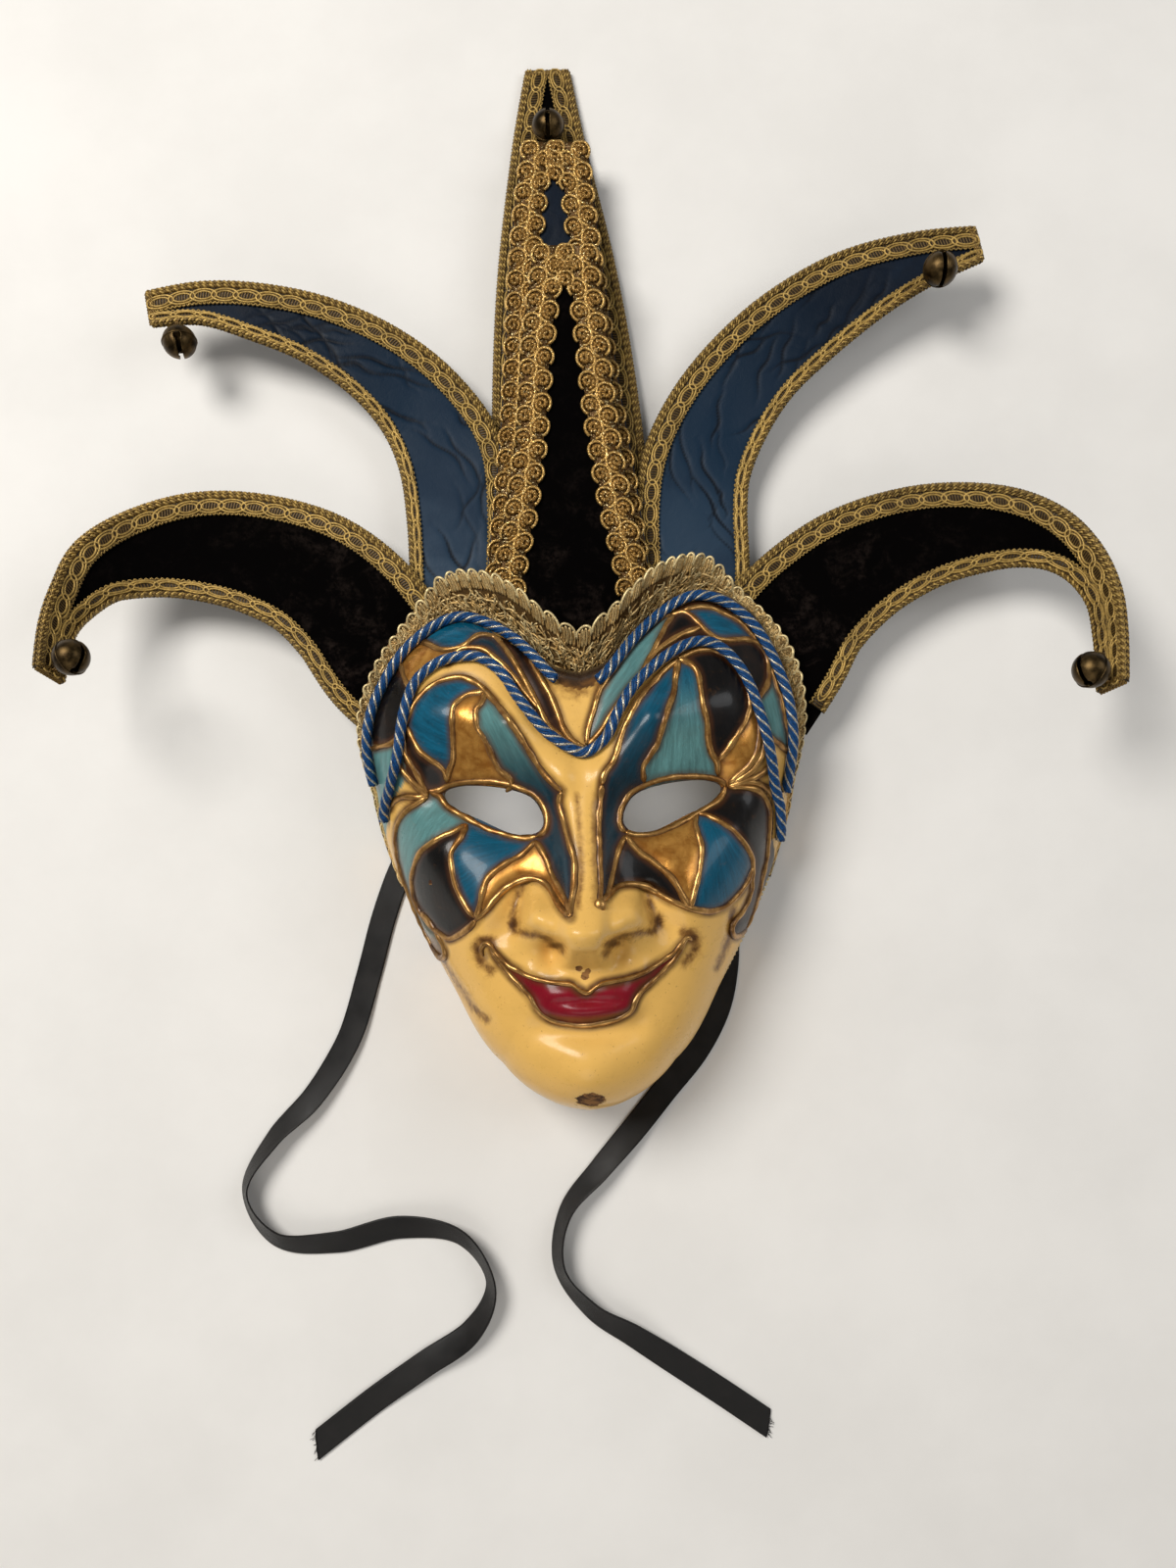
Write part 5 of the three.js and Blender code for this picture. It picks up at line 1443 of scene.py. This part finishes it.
def tip_ropes(heap, rows):
    """Ropes across the end of a horn, where the trim is folded over."""
    centre, side, front, half = (part[0] for part in station(rows, np.array([1.0])))
    ahead = np.cross(side, front)
    ahead = ahead * np.sign(ahead @ (centre - station(rows, np.array([0.97]))[0][0]))
    lanes = np.linspace(-1, 1, 26)[:, None] * half
    for back, high in ((0.2, 0.0), (-0.2, 0.9), (-1.1, 1.55), (-2.0, 1.7)):
        for ply in (0, math.pi):
            wind = TURN * lanes / 2.6 + ply
            path = centre + side * lanes + ahead * (back + 0.4 * np.cos(wind))
            path = path + front * (high + 0.35 * np.sin(wind))
            heap.add(tubes(path, front, 0.45, 4), 0.6)


def gimp(heap, strip, pitch, low, dome):
    trim_base(heap, strip, GIMP_BASE, 0.1)
    for lane, shift, turn_way in ((0.24, 0.0, 1), (0.72, 0.5, -1)):
        at = np.arange(strip.end - pitch * (0.38 + shift), pitch * 0.3, -pitch)[:, None]
        snails(heap, strip, at, lane * strip.width(at), turn_way, low, dome)


def snails(heap, strip, at, across, turn_way, low, dome):
    wind = np.linspace(0, 1, 44)[None]
    size = np.clip(strip.width(at) / 13.5, 0.8, 1.0)
    spin = 0.5 * np.sin(3.7 * at)
    # The knobbly glittering snail
    angle = turn_way * (TURN * 1.35 * wind + 0.6) + spin
    reach = size * (0.45 + 2.15 * wind**0.8)
    u, v = at + reach * np.cos(angle), across + reach * np.sin(angle)
    knob = 0.98 * (1 + 0.32 * np.sin(TURN * wind * 15)) * np.ones_like(at)
    high = low + dome * (1 - wind) + 0.12 * np.sin(70 * wind)
    put_tubes(heap, strip, u, v, high, knob, 0.45, 5, False, 0.8)
    # The smooth cord round it, running on towards the next
    angle = turn_way * (TURN * 0.92 * wind[:, ::2] - 2.6) + 0.5 * spin
    reach = size * (3.45 + 0.35 * wind[:, ::2])
    u, v = at + 1.12 * reach * np.cos(angle), across + reach * np.sin(angle)
    put_tubes(heap, strip, u, v, low + 0.12 * np.cos(angle), 0.68, 0.85, 5)


BRAID_PITCH, GIMP_PITCH, GIMP_WIDE = 9.8, 9.4, 13.6
# Trim of each horn: CAD node, start, width at the outer and inner edge, which edge is the outer one
BRAIDS = [
    ("left_black", "left_black_braid", 1 / 18, 8.6, 6.0, -1),
    ("left_blue", "left_blue_braid", 0.04, 8.6, 4.2, -1),
    ("back_spike", "back_spike_braid", 0.14, 8.6, 8.6, 1),
    ("right_blue", "right_blue_braid", 0.04, 8.6, 4.4, 1),
    ("right_black", "right_black_braid", 1 / 18, 8.6, 6.0, 1),
]
for name, node, start, outer_wide, inner_wide, outer_edge in BRAIDS:
    heap = Heap()
    for edge in (-1, 1):
        wide = outer_wide if edge == outer_edge else inner_wide
        braid(heap, Strip(HORNS[name], edge, start, wide, inner_wide), BRAID_PITCH)
    tip_ropes(heap, HORNS[name])
    heap.build(name + "_braiding", [braid_look], node)
for name, node, start, low, dome in (
    ("middle_spike", "middle_spike_gimp", 1 / 8, 0.66, 0.2),
    ("front_spike", "front_spike_gimp", 1 / 8, 0.8, 0.45),
):
    heap = Heap()
    for edge in (-1, 1):
        strip = Strip(HORNS[name], edge, start, GIMP_WIDE, GIMP_WIDE)
        gimp(heap, strip, GIMP_PITCH, low, dome)
    # Across the tip, where the two sides meet
    at = strip.end - np.array([[3.2], [8.6], [14.6]])
    snails(heap, strip, at, strip.half(at), -1, low + 0.1, dome)
    heap.build(name + "_scrolls", [gimp_look], node)

# The gathered galloon round the crown
look = Look("bronze_galloon", rough=0.45, metal=0.5)
twist = look.noise(1100, 3, 0.6)
thread_colour = look.yarns(linear(112, 85, 48), linear(228, 190, 122), linear(255, 232, 174))
look.base(look.span(twist, 0.35, 0.65, 0.4, 0.0), thread_colour, linear(84, 62, 36))
look.bump(twist, 0.5, 0.0003)
galloon_look = look.made
# Widths of the galloon at even angles, from the notch to its end in degrees
RUFFLE_LEFT = [19, 26, 9.5, 6, 3.5, 2, 1.5]
RUFFLE_RIGHT = [19, 25, 5.5, 6, 3.5, 2, 1.5]
RUFFLE_END, GATHER_PITCH = 96.0, 9.4


def rim_edge(start, end, count):
    """Angles round the rim, the rim's line there and the level way out of it."""
    angle = np.radians(np.linspace(start, end, count))
    line = by_ray(angle, np.ones_like(angle))
    out = unit(np.cross(unit(np.gradient(line, axis=0)), UP))
    return angle, line, outwards(out, line, (0, MIDDLE_Y, 0))


angle, rim_line, outward = rim_edge(-RUFFLE_END, RUFFLE_END, 1400)
ruffle_foot = rim_line + outward * 0.5 + UP * 0.6
ray = np.stack([np.sin(angle), np.cos(angle), 0 * angle], -1)
round_share = np.abs(np.degrees(angle)) / RUFFLE_END
ruffle_wide = np.where(angle < 0, column(RUFFLE_LEFT, round_share), column(RUFFLE_RIGHT, round_share))
ruffle_way = (ray + 0.6 * UP) * ruffle_wide[:, None]
ruffle_up = unit(UP - unit(ruffle_way) * unit(ruffle_way)[:, 2:])
ruffle_run = lengths(ruffle_foot)
ruffle_end = ruffle_run[-1]


def on_ruffle(q, t, w):
    """Places on the galloon: q along it, t out over its width, w up from it, and its up there."""
    q, t, w = np.broadcast_arrays(q, t, w)
    q = np.clip(q, 0, ruffle_end)
    size = np.interp(q, ruffle_run, ruffle_wide)
    gather = np.minimum(0.9, 0.08 * size) * t * np.cos(TURN * q / GATHER_PITCH)
    gather = gather + 0.25 * ripples(q / 20, t, (2, 1), 77)
    foot, way, up = (between(q, ruffle_run, field) for field in (ruffle_foot, ruffle_way, ruffle_up))
    return foot + way * t[..., None] + up * (w + gather)[..., None], up


heap = Heap()
q = np.arange(0, ruffle_end, 0.9)[:, None]
t = np.linspace(0, 0.9, 7)[None]
top, low = on_ruffle(q, t, 0.3)[0], on_ruffle(q, t, -0.3)[0]
heap.add(sweep(np.concatenate([top, low[:, ::-1]], axis=1)), 0.0)
# Scallops of bright cord over upright loops of yarn, of one depth however wide the galloon stands
SCALLOP_PITCH, SCALLOP_DEEP = 5.2, 6.4
spots = np.arange(3.2, ruffle_end - 3, SCALLOP_PITCH)[:, None]
size = np.interp(spots, ruffle_run, ruffle_wide)
small = np.clip(size / 6, 0.4, 1.0)
deep = np.minimum(0.9, SCALLOP_DEEP / size)
turn = np.linspace(-0.3, math.pi + 0.3, 15)[None]
path = on_ruffle(spots + 2.4 * np.cos(turn), 1.0 - 0.5 * deep * (1 - np.sin(turn)), 0.75)
heap.add(tubes(*path, 0.58 * small, 5), 0.95)
turn = circle(14)[None]
for place, tone in ((-1.75, 0.6), (-0.6, 0.75), (0.6, 0.75), (1.75, 0.6)):
    tall = deep * (0.98 - 0.06 * place**2)
    out = 1.0 - deep * 1.1 + tall * 0.5 * (1 + np.sin(turn))
    path = on_ruffle(spots + place + 0.36 * np.cos(turn), out, 0.62 + 0.2 * np.cos(turn))
    heap.add(tubes(*path, 0.32 * small, 5, True), tone)
# The loosely woven body: yarns along it and many short ones astray
run = np.arange(0, ruffle_end, 1.0)
for number, place in enumerate((0.05, 0.16, 0.28, 0.4, 0.52)):
    line_at = place + 0.05 * ripples(run / 15, 0 * run, (2, 1), number + 3)
    path = on_ruffle(run, line_at, 0.6 + 0.3 * ripples(run / 9, 0 * run, (2, 1), number + 13))
    heap.add(tubes(*path, 0.5, 5), 0.45 if number % 2 else 0.7)
STRAYS = 390
for tone in (0.2, 0.45, 0.7, 0.9):
    at = dice.uniform(4, ruffle_end - 4, STRAYS)[:, None]
    room = np.interp(at, ruffle_run, ruffle_wide)
    keep = (room > 4)[:, 0]
    at, room = at[keep], room[keep]
    slant = dice.uniform(-1, 1, at.shape)
    step = np.linspace(-1, 1, 7)[None]
    q = at + 2.6 * slant * step + 0.5 * np.sin(3 * step + at)
    t = dice.uniform(0.15, 0.6, at.shape) + 3.2 * (1 - 0.6 * np.abs(slant)) * step / room
    path = on_ruffle(q, np.clip(t, 0.02, 0.9), 0.75 + 0.3 * np.cos(2 * step + 5 * at))
    heap.add(tubes(*path, 0.39, 3), tone)
# A thin picot edge goes on down the right side of the rim
PICOT_END, PICOT_STEPS, PICOTS = 136, 260, 24
_, edge_line, outward = rim_edge(RUFFLE_END, PICOT_END, PICOT_STEPS)
wave = np.sin(TURN * np.linspace(0, 1, PICOT_STEPS) * PICOTS)
edge_path = edge_line + outward * (0.9 + 0.5 * wave)[:, None] + UP * (1.6 + 0.5 * np.abs(wave))[:, None]
heap.add(tubes(edge_path, UP, 0.45, 5), 0.9)
heap.build("crown_galloon", [galloon_look], "edge_ruffle")

# Bells
look = Look("antique_brass", rough=0.34, metal=1.0)
tarnish = look.noise(170, 5, 0.65, 0.4)
look.base(look.span(tarnish, 0.35, 0.68), linear(48, 38, 24), linear(96, 77, 48))
look.put("Roughness", look.span(tarnish, 0.3, 0.7, 0.3, 0.48))
look.bump(look.noise(600, 3), 0.15, 0.0003)
brass_look = look.made
look = Look("gold_thread", rough=0.5, metal=0.3)
ply = look.noise(1500, 2)
look.base(look.span(ply, 0.35, 0.65), linear(90, 66, 28), linear(170, 132, 70))
look.bump(ply, 0.5, 0.0002)
thread_look = look.made
BELL_RADIUS, BELL_WALL, BELL_BAND, LOOP_LONG = 6.7, 0.9, 6.75, 2.6
BELL_SLOT, SLOT_FROM, SLOT_TO, SLOT_REACH, SLOT_HOLE = 1.8, 1.35, 9.0, 10.0, 1.5
RING_RADIUS, RING_Z, THREAD_Z, THREAD_SHIFT = 1.5, -7.7, -8.85, 0.35
bell_rings = ball(48, 34, 0.012)
points, blocks = sweep((BELL_RADIUS - BELL_WALL) * bell_rings)
inner = (points, [block[:, ::-1] for block in blocks])
hollow = plain_mesh("bell_body", [sweep(BELL_RADIUS * bell_rings), inner])
corner = np.array([(-1, -1), (1, -1), (1, 1), (-1, 1)]) * np.array([BELL_SLOT / 2, SLOT_REACH])
box = np.stack([np.column_stack([corner, np.full(4, z)]) for z in (SLOT_FROM, SLOT_TO)])
cut_away(hollow, plain_mesh("bell_slot", [sweep(box)]))
drill = tubes([(0, -SLOT_REACH, SLOT_FROM), (0, SLOT_REACH, SLOT_FROM)], UP, SLOT_HOLE, 24)
cut_away(hollow, plain_mesh("bell_holes", [drill]))
bell_points = np.array([v.co for v in hollow.data.vertices])
by_size = {}
for polygon in hollow.data.polygons:
    by_size.setdefault(len(polygon.vertices), []).append(list(polygon.vertices))
bell_blocks = [np.array(group) for group in by_size.values()]
bpy.data.objects.remove(hollow)
# The rim round the bell, its ring and two turns of thread through it
around = circle(40)
none, sine, cosine = 0 * around, np.sin(around), np.cos(around)
band = np.stack([BELL_BAND * cosine, BELL_BAND * sine, none], -1)
ring = np.stack([RING_RADIUS * cosine, none, RING_RADIUS * sine + RING_Z], -1)
band = tubes(band, unit(band), 0.3, 6, True)
brass = [(bell_points, bell_blocks), band, tubes(ring, (0, 1, 0), 0.45, 6, True)]
threads = []
for shift in (-THREAD_SHIFT, THREAD_SHIFT):
    loop = np.stack([none + shift, 0.9 * cosine, 0.95 * sine + THREAD_Z], -1)
    threads.append(tubes(loop, (1, 0, 0), 0.28, 5, True))
for name, (share, across, seat, lean) in BELLS.items():
    centre, side, front, half = (np.squeeze(part) for part in station(HORNS[name], np.array([share])))
    lean = math.radians(lean)
    way = front * math.cos(lean) + side * math.sin(lean)
    tilt = min(abs(way @ side), abs(way @ front))
    away = BELL_RADIUS + LOOP_LONG + 0.3 + 1.3 * tilt
    middle = centre + side * across * (half + 0.4) + front * seat + way * away
    turn = np.array(Vector((0, 0, 1)).rotation_difference(Vector(way)).to_matrix())
    heap = Heap()
    for paint, bodies in enumerate((brass, threads)):
        for points, blocks in bodies:
            heap.add((points @ turn.T + middle, blocks), paint=paint)
    heap.build("jingle_" + name, [brass_look, thread_look], "bell_" + name)

# Floor and light
look = Look("pale_floor", rough=0.7)
mottle = look.noise(9, 5, 0.6)
look.base(look.span(mottle, 0.3, 0.7), (0.8, 0.785, 0.76), (0.86, 0.845, 0.82))
look.bump(look.noise(300, 3), 0.08, 0.0006)
FLOOR_HALF, FLOOR_Z = 6, -0.0004
corners = [(x * FLOOR_HALF, y * FLOOR_HALF, FLOOR_Z) for x, y in ((-1, -1), (1, -1), (1, 1), (-1, 1))]
floor = plain_mesh("floor", [(corners, [[(0, 1, 2, 3)]])])
floor.data.materials.append(look.made)
floor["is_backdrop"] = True


def disk_lamp(name, spot, size, watts):
    lamp = bpy.data.lights.new(name, "AREA")
    lamp.shape = "DISK"
    lamp.size = size
    lamp.energy = watts
    thing = placed(name, lamp)
    thing.location = spot
    thing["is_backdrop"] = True
    return thing


LAMP_AIM = Vector((0, -0.05, 0.03))
# x, y, z, size, watts, warmth
LAMPS = [
    (-0.72, 0.48, 1.3, 0.75, 20, (1.0, 0.97, 0.92)),
    (1.05, 0.25, 1.0, 0.8, 4, (0.96, 0.98, 1.0)),
    (-0.1, -1.2, 0.9, 1.0, 3, (1.0, 0.96, 0.9)),
]
for x, y, z, size, watts, warmth in LAMPS:
    thing = disk_lamp("softbox", (x, y, z), size, watts)
    thing.data.color = warmth
    thing.rotation_euler = (LAMP_AIM - thing.location).to_track_quat("-Z", "Y").to_euler()
# A small light under each eye hole, so that the surface seen through it is as pale as around the mask
EYE_LAMP_Y, EYE_LAMP_Z, EYE_LAMP_SIZE, EYE_LAMP_SPREAD = -0.101, 0.034, 0.034, 1.6
for x, watts in ((-0.032, 0.0022), (0.029, 0.0013)):
    thing = disk_lamp("under_eye", (x, EYE_LAMP_Y, EYE_LAMP_Z), EYE_LAMP_SIZE, watts)
    thing.data.spread = EYE_LAMP_SPREAD
    thing.visible_camera = False
world = bpy.data.worlds.new("studio")
world.use_nodes = True
background = world.node_tree.nodes["Background"]
background.inputs["Color"].default_value = (1.0, 0.975, 0.94, 1.0)
background.inputs["Strength"].default_value = 0.19
bpy.context.scene.world = world
bpy.context.scene.view_settings.view_transform = "Standard"

low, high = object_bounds()
